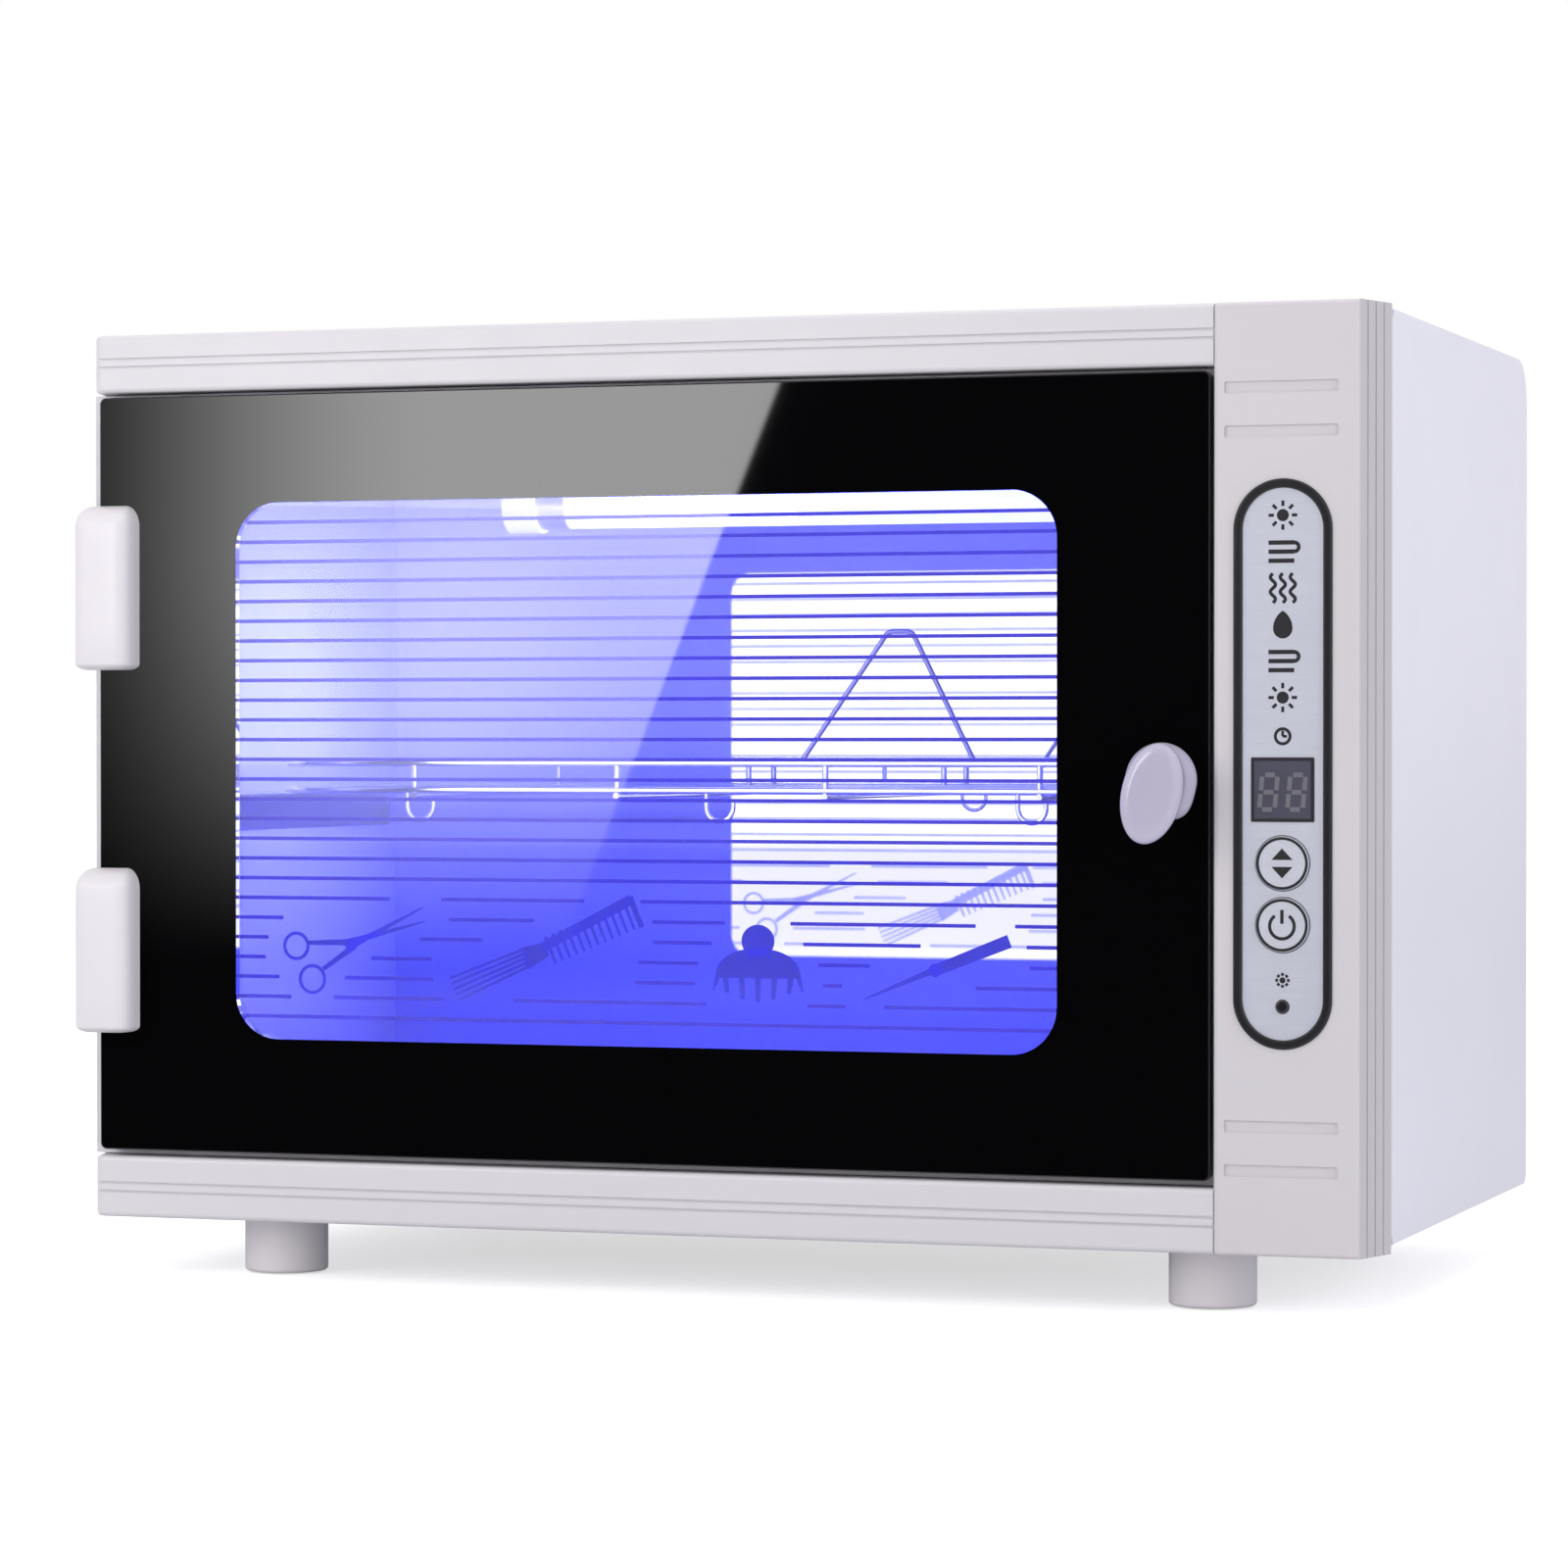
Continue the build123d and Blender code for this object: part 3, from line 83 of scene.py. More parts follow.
@dataclass
class Shape:
    """A mesh in the making: points in metres and faces that index them."""

    points: np.ndarray
    faces: list[list[int]]

    def welded(self) -> "Shape":
        """Returns the shape with points that share a place made one, and flat-out faces dropped."""
        spots = np.round(self.points / (MM * 1e-4)).astype(int)
        _, first, index = np.unique(spots, axis=0, return_index=True, return_inverse=True)
        kept = [list(dict.fromkeys(index.ravel()[face].tolist())) for face in self.faces]
        return Shape(self.points[first], [face for face in kept if len(face) > 2])

    def to_object(self, name: str, smooth: bool = False) -> Piece:
        """Makes the mesh and its object, at the origin, shaded flat or smooth."""
        mesh = bpy.data.meshes.new(name)
        mesh.from_pydata(self.points.tolist(), [], self.faces)
        mesh.polygons.foreach_set("use_smooth", np.full(len(mesh.polygons), smooth))
        mesh.update()
        piece = bpy.data.objects.new(name, mesh)
        bpy.context.scene.collection.objects.link(piece)
        return piece

    def mount(self, name: str, finish: "Finish", body: str, slot: str, stands_for: str = "",
              smooth: bool = False) -> Piece:
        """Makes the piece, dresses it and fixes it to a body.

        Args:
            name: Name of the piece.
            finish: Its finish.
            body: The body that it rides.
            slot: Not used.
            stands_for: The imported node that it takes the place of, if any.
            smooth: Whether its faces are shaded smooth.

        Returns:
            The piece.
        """
        piece = self.to_object(name, smooth)
        dress(piece, finish)
        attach(piece, body)
        if stands_for:
            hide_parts(stands_for)
        log.info("%s: %s", body, name)
        return piece


def join(shapes: Sequence[Shape]) -> Shape:
    """Returns several shapes as a single one."""
    shifts = np.cumsum([0] + [len(shape.points) for shape in shapes]).tolist()
    faces = [[index + shift for index in face]
             for shape, shift in zip(shapes, shifts) for face in shape.faces]
    return Shape(np.concatenate([shape.points for shape in shapes]), faces)


def grid(points: np.ndarray, wrap_rows: bool = False, wrap_columns: bool = False) -> Shape:
    """Turns a grid of points into quads between neighbouring rows and columns.

    Args:
        points: Points with shape (rows, columns, 3).
        wrap_rows: Whether the last row meets the first.
        wrap_columns: Whether the last column meets the first.

    Returns:
        The shape, its faces wound from columns to rows.
    """
    rows, columns = points.shape[:2]
    index = np.arange(rows * columns).reshape(rows, columns)
    below = np.roll(index, -1, axis=0)
    quads = np.stack((index, np.roll(index, -1, axis=1), np.roll(below, -1, axis=1), below), axis=-1)
    quads = quads[: rows if wrap_rows else rows - 1, : columns if wrap_columns else columns - 1]
    return Shape(points.reshape(-1, 3), quads.reshape(-1, 4).tolist())


def bars(starts: np.ndarray, ends: np.ndarray, start_widths: np.ndarray | float,
         end_widths: np.ndarray | float, front: float, back: float) -> Shape:
    """Lays flat bars in a plane that faces the viewer.

    Each bar's corners are its two ends, moved sideways along the unit normal of its length by
    half the width there, once at the front depth and once at the back depth.

    Args:
        starts: Start points as rows of x and height.
        ends: End points as rows of x and height.
        start_widths: Widths at the starts.
        end_widths: Widths at the ends.
        front: Depth of the bars' front face.
        back: Depth of the bars' back face.

    Returns:
        One shape with a closed six-sided bar for each pair of points.
    """
    starts, ends = np.atleast_2d(starts).astype(float), np.atleast_2d(ends).astype(float)
    along = ends - starts
    along /= np.linalg.norm(along, axis=1, keepdims=True)
    normal = np.stack((-along[:, 1], along[:, 0]), axis=1)
    first = normal * np.broadcast_to(start_widths, len(starts))[:, None] / 2
    second = normal * np.broadcast_to(end_widths, len(starts))[:, None] / 2
    flat = np.stack((starts - first, ends - second, ends + second, starts + first), axis=1)
    depth = np.array([front, back])[None, :, None]
    points = place(flat[:, None, :, 0], depth, flat[:, None, :, 1]).reshape(-1, 3)
    faces = np.array([[0, 1, 2, 3], [7, 6, 5, 4], [0, 4, 5, 1], [1, 5, 6, 2], [2, 6, 7, 3], [3, 7, 4, 0]])
    every = faces[None] + 8 * np.arange(len(starts))[:, None, None]
    return Shape(points, every.reshape(-1, 4).tolist())


def plate(outline: np.ndarray, front: float, back: float) -> Shape:
    """Extrudes an outline of x and height, wound anticlockwise as the viewer sees it."""
    loop = np.arange(len(outline))
    after = np.roll(loop, -1)
    far = len(outline)
    points = np.concatenate([place(outline[:, 0], depth, outline[:, 1]) for depth in (front, back)])
    sides = np.stack((loop, loop + far, after + far, after), axis=-1).tolist()
    return Shape(points, sides + [loop.tolist(), (loop[::-1] + far).tolist()])


def ring(outer: np.ndarray, inner: np.ndarray, front: float, back: float) -> Shape:
    """Joins two outlines of equally many points into a flat ring with a rectangular section."""
    corners = [(outer, back), (outer, front), (inner, front), (inner, back)]
    points = np.stack([place(outline[:, 0], depth, outline[:, 1]) for outline, depth in corners])
    return grid(points, wrap_rows=True, wrap_columns=True)


def arc(centre: np.ndarray | Pair, half_width: float, half_height: float, angle: np.ndarray) -> np.ndarray:
    """Points of an ellipse: its centre plus the half axes times the cosine and sine of each angle."""
    return np.stack((half_width * np.cos(angle), half_height * np.sin(angle)), axis=-1) + np.asarray(centre)


def ellipse(centre: Pair, half_width: float, half_height: float, count: int = 48) -> np.ndarray:
    """Outline of an ellipse, anticlockwise, at evenly spaced angles."""
    return arc(centre, half_width, half_height, np.linspace(0.0, 2 * math.pi, count, endpoint=False))


def rounded_box(left: float, right: float, low: float, high: float, radius: float) -> np.ndarray:
    """Outline of a rectangle with rounded corners.

    Each corner is a quarter circle of evenly spaced angles about a centre that stands one
    radius in from both edges.

    Args:
        left: Its left edge.
        right: Its right edge.
        low: Its lower edge.
        high: Its upper edge.
        radius: Corner radius.

    Returns:
        Points as rows of x and height, anticlockwise from the lower right corner.
    """
    centres = np.array([[right - radius, low + radius], [right - radius, high - radius],
                        [left + radius, high - radius], [left + radius, low + radius]])
    angle = np.radians([-90.0, 0.0, 90.0, 180.0])[:, None] + np.linspace(0.0, math.pi / 2, 12)
    return arc(centres[:, None, :], radius, radius, angle).reshape(-1, 2)


def shade(colour: Colour, factor: float) -> Colour:
    """Returns a colour times a factor, held between 0 and 1."""
    return tuple(min(1.0, max(0.0, channel * factor)) for channel in colour)


def srgb(red: int, green: int, blue: int) -> Colour:
    """Returns the linear colour of an 8-bit screen colour."""
    scaled = np.array([red, green, blue]) / 255.0
    linear = np.where(scaled <= 0.04045, scaled / 12.92, ((scaled + 0.055) / 1.055) ** 2.4)
    return tuple(float(channel) for channel in linear)


class NodeBoard:
    """The node tree of a material or of the world, with short ways to add and join its nodes."""

    def __init__(self, name: str, is_world: bool = False) -> None:
        """Starts an empty tree in a new material, or in a new world."""
        self.owner = (bpy.data.worlds if is_world else bpy.data.materials).new(name)
        self.owner.use_nodes = True
        self.tree = self.owner.node_tree
        self.tree.nodes.clear()
        self.output = self.add("OutputWorld" if is_world else "OutputMaterial")

    def feed(self, target: Socket, source: object) -> None:
        """Gives an input a value, or links it to an output or to a node's first output."""
        if isinstance(source, Node):
            source = source.outputs[0]
        if isinstance(source, Socket):
            self.tree.links.new(source, target)
        else:
            target.default_value = (*source, 1.0) if target.type == "RGBA" else source

    def add(self, kind: str, **inputs: object) -> Node:
        """Adds a node.

        Args:
            kind: Node type without its ShaderNode prefix.
            **inputs: What feeds its sockets, with underscores for the spaces in their names.

        Returns:
            The node.
        """
        node = self.tree.nodes.new("ShaderNode" + kind)
        for name, source in inputs.items():
            self.feed(node.inputs[name.replace("_", " ")], source)
        return node

    def finish(self, shader: Node) -> bpy.types.Material | bpy.types.World:
        """Links a shader to the surface and returns the tree's owner."""
        self.feed(self.output.inputs["Surface"], shader)
        return self.owner

    def along(self, axis: str, source: str = "Object") -> Socket:
        """Returns one part of the object coordinates, or of the surface's own normal."""
        return self.add("SeparateXYZ", Vector=self.add("TexCoord").outputs[source]).outputs[axis]

    def rearward(self) -> Socket:
        """Returns 1 on faces that look to the rear and 0 on the others."""
        return self.spread(self.along("Y", "Normal"), 0.0, 1.0, 0.2, 0.6)

    def ray(self, trait: str) -> Socket:
        """Returns one trait of the light's path."""
        return self.add("LightPath").outputs[trait]

    def noise(self, scale: float, detail: float = 3.0, stretch: Sequence[float] = (1.0, 1.0, 1.0),
              roughness: float = 0.5) -> Socket:
        """Adds cloud noise on object coordinates.

        Args:
            scale: Clouds per metre.
            detail: Octaves.
            stretch: Scale along each axis.
            roughness: Weight of the finer octaves.

        Returns:
            The noise's value, about 0.5 on average.
        """
        spot = self.add("Mapping", Vector=self.add("TexCoord").outputs["Object"], Scale=tuple(stretch))
        clouds = self.add("TexNoise", Vector=spot, Scale=scale, Detail=detail, Roughness=roughness)
        return clouds.outputs["Fac"]

    def spread(self, value: Socket, low: float, high: float, from_low: float = 0.25, from_high: float = 0.75,
               kind: str = "LINEAR") -> Socket:
        """Maps a value from one range to another, clamped."""
        node = self.add("MapRange", Value=value, From_Min=from_low, From_Max=from_high, To_Min=low,
                        To_Max=high)
        node.interpolation_type = kind
        return node.outputs["Result"]

    def reckon(self, operation: str, *values: Socket | float) -> Socket:
        """Returns the outcome of one arithmetic operation on values or sockets."""
        node = self.add("Math")
        node.operation = operation
        for socket, value in zip(node.inputs, values):
            self.feed(socket, value)
        return node.outputs["Value"]

    def mix(self, factor: Socket, first: Node, second: Node) -> Node:
        """Mixes two shaders by a factor."""
        node = self.add("MixShader")
        for socket, source in zip(node.inputs, (factor, first, second)):
            self.feed(socket, source)
        return node

    def blend(self, factor: Socket | float, first: Socket | Colour, second: Socket | Colour,
              kind: str = "MIX") -> Socket:
        """Mixes or multiplies two colours by a factor."""
        node = self.add("Mix")
        node.data_type = "RGBA"
        node.blend_type = kind
        self.feed(node.inputs["Factor"], factor)
        sides = [socket for socket in node.inputs if socket.type == "RGBA"]
        for socket, colour in zip(sides, (first, second)):
            self.feed(socket, colour)
        return next(socket for socket in node.outputs if socket.type == "RGBA")

    def multiply(self, first: Socket | Colour, second: Socket | Colour) -> Socket:
        """Multiplies two colours."""
        return self.blend(1.0, first, second, "MULTIPLY")

    def mottle(self, noise: Socket, colour: Colour, lowest: float) -> Socket:
        """Returns a colour that sinks to its lowest share where the noise is low."""
        return self.blend(self.spread(noise, 0.0, 1.0), shade(colour, lowest), colour)


@dataclass(frozen=True)
class Surface:
    """A finish, known by its material's name."""

    name: str

    def shader(self, board: NodeBoard) -> Node:
        """Adds the finish's nodes and returns the last one."""
        raise NotImplementedError

    def material(self) -> bpy.types.Material:
        """Builds the material."""
        board = NodeBoard(self.name)
        return board.finish(self.shader(board))


@dataclass(frozen=True)
class Moulding(Surface):
    """Moulded or lacquered surface: a faint mottle in its colour and gloss over a fine skin texture."""

    colour: Colour
    roughness: float = 0.35
    mottle: float = 0.03
    grain: float = 900.0
    depth: float = 0.00003
    coat: float = 0.0

    def base(self, board: NodeBoard) -> Socket:
        """Returns the faintly mottled base colour."""
        return board.mottle(board.noise(11.0, 4.0), self.colour, 1 - self.mottle)

    def shader(self, board: NodeBoard) -> Node:
        """Adds the nodes and returns the shader."""
        gloss = board.spread(board.noise(55.0, 5.0), self.roughness * 0.88, self.roughness * 1.12)
        skin = board.add("Bump", Height=board.noise(self.grain, 2.0), Strength=0.5, Distance=self.depth)
        return board.add("BsdfPrincipled", Base_Color=self.base(board), Roughness=gloss, Normal=skin,
                         IOR=1.48, Coat_Weight=self.coat, Coat_Roughness=0.08)


@dataclass(frozen=True)
class FlankedMoulding(Moulding):
    """Moulding whose flank, right of a place across, carries painted shade where it turns away from the
    light.
    """

    flank: float = 0.2
    painted_flank_shade: float = 0.78

    def base(self, board: NodeBoard) -> Socket:
        """Returns the base colour, dimmed by painted shade right of the flank's start."""
        side = board.spread(board.along("X"), 0.0, 1.0, self.flank - 0.0002, self.flank + 0.0003)
        tone = board.blend(side, WHITE, (self.painted_flank_shade, self.painted_flank_shade, self.painted_flank_shade * 1.02))
        return board.multiply(super().base(board), tone)


@dataclass(frozen=True)
class DrawnMetal(Surface):
    """Drawn, rolled or brushed metal: streaks along one axis in its colour, gloss and relief."""

    colour: Colour
    roughness: float = 0.3
    streaks: tuple[float, float, float] = (1.0, 30.0, 30.0)
    contrast: float = 0.12
    depth: float = 0.00001
    metal: float = 1.0

    def shader(self, board: NodeBoard) -> Node:
        """Adds the nodes and returns the shader."""
        lines = board.noise(90.0, 4.0, self.streaks, 0.6)
        gloss = board.spread(lines, self.roughness * 0.75, self.roughness * 1.25)
        furrows = board.add("Bump", Height=lines, Strength=0.4, Distance=self.depth)
        return board.add("BsdfPrincipled", Base_Color=board.mottle(lines, self.colour, 1 - self.contrast),
                         Metallic=self.metal, Roughness=gloss, Normal=furrows)


@dataclass(frozen=True)
class MirrorSheet(Surface):
    """Mirror-polished liner: a bright reflection with faint wiping marks, and painted shade that deepens its
    colour towards the chamber's bottom.
    """

    colour: Colour = (0.93, 0.94, 0.98)
    roughness: float = 0.03
    metal: float = 0.8
    painted_bottom_shade: Colour = WHITE

    def marks(self, board: NodeBoard) -> Socket:
        """Returns the noise of the wiping marks."""
        return board.noise(16.0, 5.0, (1.0, 1.0, 3.0), 0.65)

    def gloss(self, board: NodeBoard, marks: Socket) -> Socket:
        """Returns the roughness, uneven by the wiping marks."""
        return board.spread(marks, self.roughness * 0.6, self.roughness * 1.6)

    def tint(self, board: NodeBoard, marks: Socket, colour: Colour) -> Socket:
        """Returns a colour with wiping marks, times the painted shade towards the chamber's bottom."""
        rise = board.spread(board.along("Z"), 0.0, 1.0, 0.07, 0.17)
        return board.multiply(board.mottle(marks, colour, 0.95), board.blend(rise, self.painted_bottom_shade, WHITE))

    def shader(self, board: NodeBoard) -> Node:
        """Adds the nodes and returns the shader."""
        marks = self.marks(board)
        return board.add("BsdfPrincipled", Base_Color=self.tint(board, marks, self.colour),
                         Metallic=self.metal, IOR=1.5, Roughness=self.gloss(board, marks))


@dataclass(frozen=True)
class FramedMirror(MirrorSheet):
    """Back sheet: a mirror-polished field with rounded corners inside a satin margin."""

    # The satin's violet-blue colour is painted lamp light.
    satin: Colour = (0.5, 0.52, 0.95)
    left: float = -0.0663
    right: float = 0.147
    low: float = 0.0925
    high: float = 0.2235
    corner: float = 0.007
    blur: float = 0.0006

    def margin(self, board: NodeBoard) -> Socket:
        """Returns 0 on the mirrored field and 1 on the margin round it.

        The field is where the distance to a box, shrunk by the corner radius, is below that
        radius: the distance is the length of the part of the offset from the middle that
        exceeds the shrunk half sizes.

        Args:
            board: The material's board.

        Returns:
            The value, blurred a little along the field's edge.
        """
        squares = []
        for axis, first, last in (("X", self.left, self.right), ("Z", self.low, self.high)):
            offset = board.reckon("SUBTRACT", board.along(axis), (first + last) / 2)
            half = (last - first) / 2 - self.corner
            beyond = board.reckon("SUBTRACT", board.reckon("ABSOLUTE", offset), half)
            outside = board.reckon("MAXIMUM", beyond, 0.0)
            squares.append(board.reckon("MULTIPLY", outside, outside))
        distance = board.reckon("SQRT", board.reckon("ADD", *squares))
        return board.spread(distance, 0.0, 1.0, self.corner - self.blur, self.corner + self.blur)

    def shader(self, board: NodeBoard) -> Node:
        """Adds the nodes and returns the shader."""
        marks = self.marks(board)
        mirror = board.add("BsdfPrincipled", Metallic=1.0, Base_Color=self.colour,
                           Roughness=self.gloss(board, marks))
        satin = board.add("BsdfPrincipled", Base_Color=self.tint(board, marks, self.satin),
                          Specular_IOR_Level=0.25, Roughness=0.4)
        return board.mix(self.margin(board), mirror, satin)


@dataclass(frozen=True)
class ClearGlass(Surface):
    """Clear sheet glass that lets lamps through, with a trace of haze in its tint."""

    colour: Colour = (0.985, 0.985, 1.0)
    shadow: Colour = (0.3, 0.31, 0.5)

    def shader(self, board: NodeBoard) -> Node:
        """Adds the nodes and returns the shader."""
        haze = board.mottle(board.noise(7.0, 3.0), self.colour, 0.985)
        pane = board.add("BsdfPrincipled", Base_Color=haze, Transmission_Weight=1.0, IOR=1.5, Roughness=0.0)
        return board.mix(board.ray("Is Shadow Ray"), pane, board.add("BsdfTransparent", Color=self.shadow))


@dataclass(frozen=True)
class FiredPrint(Surface):
    """Printed glass of the border: glossy black in front, blue-grey on the chamber's side."""

    face: Colour = (0.002, 0.002, 0.0025)
    rear: Colour = (0.2, 0.205, 0.27)

    def shader(self, board: NodeBoard) -> Node:
        """Adds the nodes and returns the shader."""
        side = board.rearward()
        return board.add("BsdfPrincipled", Base_Color=board.blend(side, self.face, self.rear), IOR=1.5,
                         Roughness=board.spread(side, 0.02, 0.5, 0.0, 1.0))


@dataclass(frozen=True)
class GlassInk(Surface):
    """Translucent ink, a little uneven, that the chamber's light falls on from behind; a painted glow in the
    ink's colour stands in for that light shining through.
    """

    colour: Colour
    # Strength of the painted glow.
    glow: float
    rear: Colour

    def shader(self, board: NodeBoard) -> Node:
        """Adds the nodes and returns the shader."""
        density = board.mottle(board.noise(130.0, 3.0), WHITE, 0.85)
        ink = board.multiply(density, board.blend(board.rearward(), self.colour, self.rear))
        # The emission is a painted glow of the chamber's light through the ink.
        return board.add("BsdfPrincipled", Base_Color=ink, Emission_Color=ink, Emission_Strength=self.glow,
                         Roughness=0.4, Specular_IOR_Level=0.1)


@dataclass(frozen=True)
class LampGlow(Surface):
    """Lit discharge tube, brightest along its middle and dimmer by its electrodes."""

    colour: Colour
    strength: float
    centre: float
    half_length: float

    def shader(self, board: NodeBoard) -> Node:
        """Adds the nodes and returns the shader."""
        offset = board.reckon("ABSOLUTE", board.reckon("SUBTRACT", board.along("X"), self.centre))
        fall = board.spread(offset, self.strength, self.strength * 0.35, self.half_length * 0.86,
                            self.half_length)
        return board.add("BsdfPrincipled", Base_Color=(0.8, 0.82, 0.9), Roughness=0.1,
                         Emission_Color=self.colour, Emission_Strength=fall)


@dataclass(frozen=True)
class SmokedPlastic(Surface):
    """Smoked acrylic with a soft vertical drift in its tint."""

    colour: Colour

    def shader(self, board: NodeBoard) -> Node:
        """Adds the nodes and returns the shader."""
        drift = board.spread(board.noise(60.0, 2.0, (1.0, 1.0, 2.5)), 0.0, 1.0)
        tint = board.blend(drift, shade(self.colour, 0.9), shade(self.colour, 1.08))
        return board.add("BsdfPrincipled", Base_Color=tint, Roughness=0.12, IOR=1.49, Coat_Weight=0.5,
                         Coat_Roughness=0.04)


class Finish(Enum):
    """The finishes by what they are used for."""

    MOULDING = Moulding("warm_white_moulding", srgb(224, 220, 226), roughness=0.38, depth=0.00002)
    COLUMN = FlankedMoulding("column_moulding", srgb(218, 213, 218), roughness=0.42, depth=0.00002)
    ENAMEL = Moulding("cool_white_enamel", srgb(228, 227, 241), roughness=0.34, grain=350.0, depth=0.00002)
    FOOT = Moulding("foot_moulding", srgb(240, 235, 240), roughness=0.5)
    HINGE_CAP = Moulding("hinge_cap_moulding", srgb(234, 229, 235), roughness=0.32, mottle=0.012)
    KNOB = Moulding("milky_knob", srgb(195, 189, 212), roughness=0.22, mottle=0.06, coat=0.6)
    SEAL = Moulding("grey_seal", srgb(206, 206, 210), roughness=0.75, grain=1600.0)
    GLASS = ClearGlass("clear_pane")
    BORDER = FiredPrint("fired_border")
    STRIPES = GlassInk("stripe_ink", (0.02, 0.012, 0.42), 0.8, (0.5, 0.52, 1.0))
    ICONS = GlassInk("icon_ink", (0.015, 0.015, 0.42), 0.8, (0.42, 0.44, 1.0))
    # In the chamber's finishes the violet-blue colours are painted lamp light on steel, and the colour that
    # deepens towards the bottom is painted shade.
    BACK_SHEET = FramedMirror("back_sheet", (0.97, 0.97, 0.99), 0.02, painted_bottom_shade=(0.3, 0.33, 0.93))
    REFLECTOR = MirrorSheet("lamp_reflector_sheet")
    SIDE_LINER = MirrorSheet("side_liner", (0.42, 0.44, 0.97), 0.08, 0.5, (0.9, 0.9, 0.9))
    ZINC = DrawnMetal("bright_zinc", (0.7, 0.71, 0.75), 0.4)
    NICKEL = DrawnMetal("nickel_plate", (0.72, 0.71, 0.7), 0.2, (20.0, 20.0, 2.0))
    SCREW = DrawnMetal("screw_zinc", (0.66, 0.66, 0.69), 0.38, (14.0, 14.0, 14.0))
    # The recesses' dark colour is painted shade on crosses laid over the heads.
    RECESS_SHADE = DrawnMetal("screw_recess", (0.09, 0.09, 0.1), 0.5, (14.0, 14.0, 14.0))
    WIRE = DrawnMetal("chromed_wire", (0.9, 0.91, 0.97), 0.12, (1.0, 20.0, 20.0), contrast=0.05)
    # The bail's dark violet colour is painted shade and painted lamp light on chromed wire.
    BAIL = DrawnMetal("bail_wire", (0.3, 0.3, 0.62), 0.38, (8.0, 20.0, 8.0), contrast=0.1)
    LAMP = LampGlow("lamp_glow", (0.11, 0.12, 1.0), 7.0, 0.0127, 0.096)
    LAMP_CAP = DrawnMetal("lamp_cap", (0.78, 0.78, 0.8), 0.38, (2.0, 20.0, 20.0))
    HOLDER = Moulding("holder_moulding", srgb(235, 235, 238), roughness=0.34)
    RING = Moulding("gloss_ring", srgb(17, 16, 22), roughness=0.34, mottle=0.2, coat=0.2)
    LABEL = DrawnMetal("brushed_label", srgb(214, 216, 229), 0.42, (1.0, 1.0, 40.0), contrast=0.1, metal=0.4)
    BUTTON = DrawnMetal("brushed_button", srgb(220, 222, 234), 0.38, (1.0, 1.0, 30.0), contrast=0.08,
                        metal=0.4)
    LABEL_INK = Moulding("label_ink", srgb(28, 28, 34), roughness=0.5, mottle=0.15)
    DISPLAY = SmokedPlastic("smoked_display", srgb(87, 86, 101))
    SEGMENT = Moulding("unlit_segment", srgb(112, 110, 118), roughness=0.45, mottle=0.1)
    DARK_BLOCK = Moulding("dark_block", srgb(62, 60, 66), roughness=0.6)
    BLACK = Moulding("black_moulding", srgb(26, 26, 28), roughness=0.5, mottle=0.15)
    LENS = SmokedPlastic("dark_lens", srgb(38, 35, 42))
    BOARD = Moulding("green_lacquer", (0.02, 0.17, 0.06), roughness=0.34, mottle=0.25, grain=300.0)
    CATCH = Moulding("catch_moulding", srgb(226, 226, 230), roughness=0.5)
    MAGNET = Moulding("sintered_magnet", srgb(66, 66, 70), roughness=0.55, mottle=0.15, grain=2500.0,
                      depth=0.0001)
    BALLAST = Moulding("ballast_lacquer", srgb(220, 220, 224), roughness=0.35)
    BRASS = DrawnMetal("plated_blade", (0.78, 0.7, 0.5), 0.2, (20.0, 1.0, 20.0))

    def material(self) -> bpy.types.Material:
        """Returns the finish's material, built once."""
        return BUILT.get(self) or BUILT.setdefault(self, self.value.material())


BUILT: dict[Finish, bpy.types.Material] = {}

# Pieces that stand out from the glass, where their reflection would double them.
UNMIRRORED = (Finish.HINGE_CAP, Finish.KNOB)

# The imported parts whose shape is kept, by finish.
PACKED: dict[Finish, tuple[str, ...]] = {
    Finish.MOULDING: ("top_rail", "bottom_rail", "front_frame"),
    Finish.COLUMN: ("control_column",),
    Finish.ENAMEL: ("left_side_panel", "right_side_panel", "top_back_cover", "base_plate"),
    Finish.FOOT: ("foot_front_left", "foot_front_right", "foot_rear_left", "foot_rear_right"),
    Finish.SEAL: ("door_gasket",),
    Finish.BACK_SHEET: ("chamber_back",),
    Finish.REFLECTOR: ("lamp_reflector",),
    Finish.SIDE_LINER: ("chamber_walls", "chamber_ceiling"),
    Finish.ZINC: ("chamber_bearers", "rack_ledges"),
    Finish.NICKEL: ("hinge_leaves", "hinge_clamps", "strike_plate", "knob_washer"),
    Finish.SCREW: ("hinge_pins", "clamp_screws", "leaf_screws", "knob_screw", "case_screws", "foot_screws",
                   "foot_nuts", "wiring_bay_screws", "inlet_screws"),
    Finish.WIRE: ("rack_tray", "rack_hooks"),
    Finish.BAIL: ("rack_bail",),
    Finish.LAMP: ("uv_lamp_tube",),
    Finish.LAMP_CAP: ("uv_lamp_caps",),
    Finish.HOLDER: ("lampholders",),
    Finish.RING: ("panel_ring",),
    Finish.LABEL: ("panel_label",),
    Finish.BUTTON: ("select_button", "power_button"),
    Finish.DISPLAY: ("display_window",),
    Finish.DARK_BLOCK: ("display_module",),
    Finish.BLACK: ("switch_bodies", "select_switch_plunger", "power_switch_plunger", "board_components",
                   "power_inlet"),
    Finish.LENS: ("power_light_lens",),
    Finish.BOARD: ("control_board",),
    Finish.CATCH: ("catch_housing",),
    Finish.MAGNET: ("catch_magnet",),
    Finish.BALLAST: ("lamp_ballast",),
    Finish.BRASS: ("inlet_pins",),
}


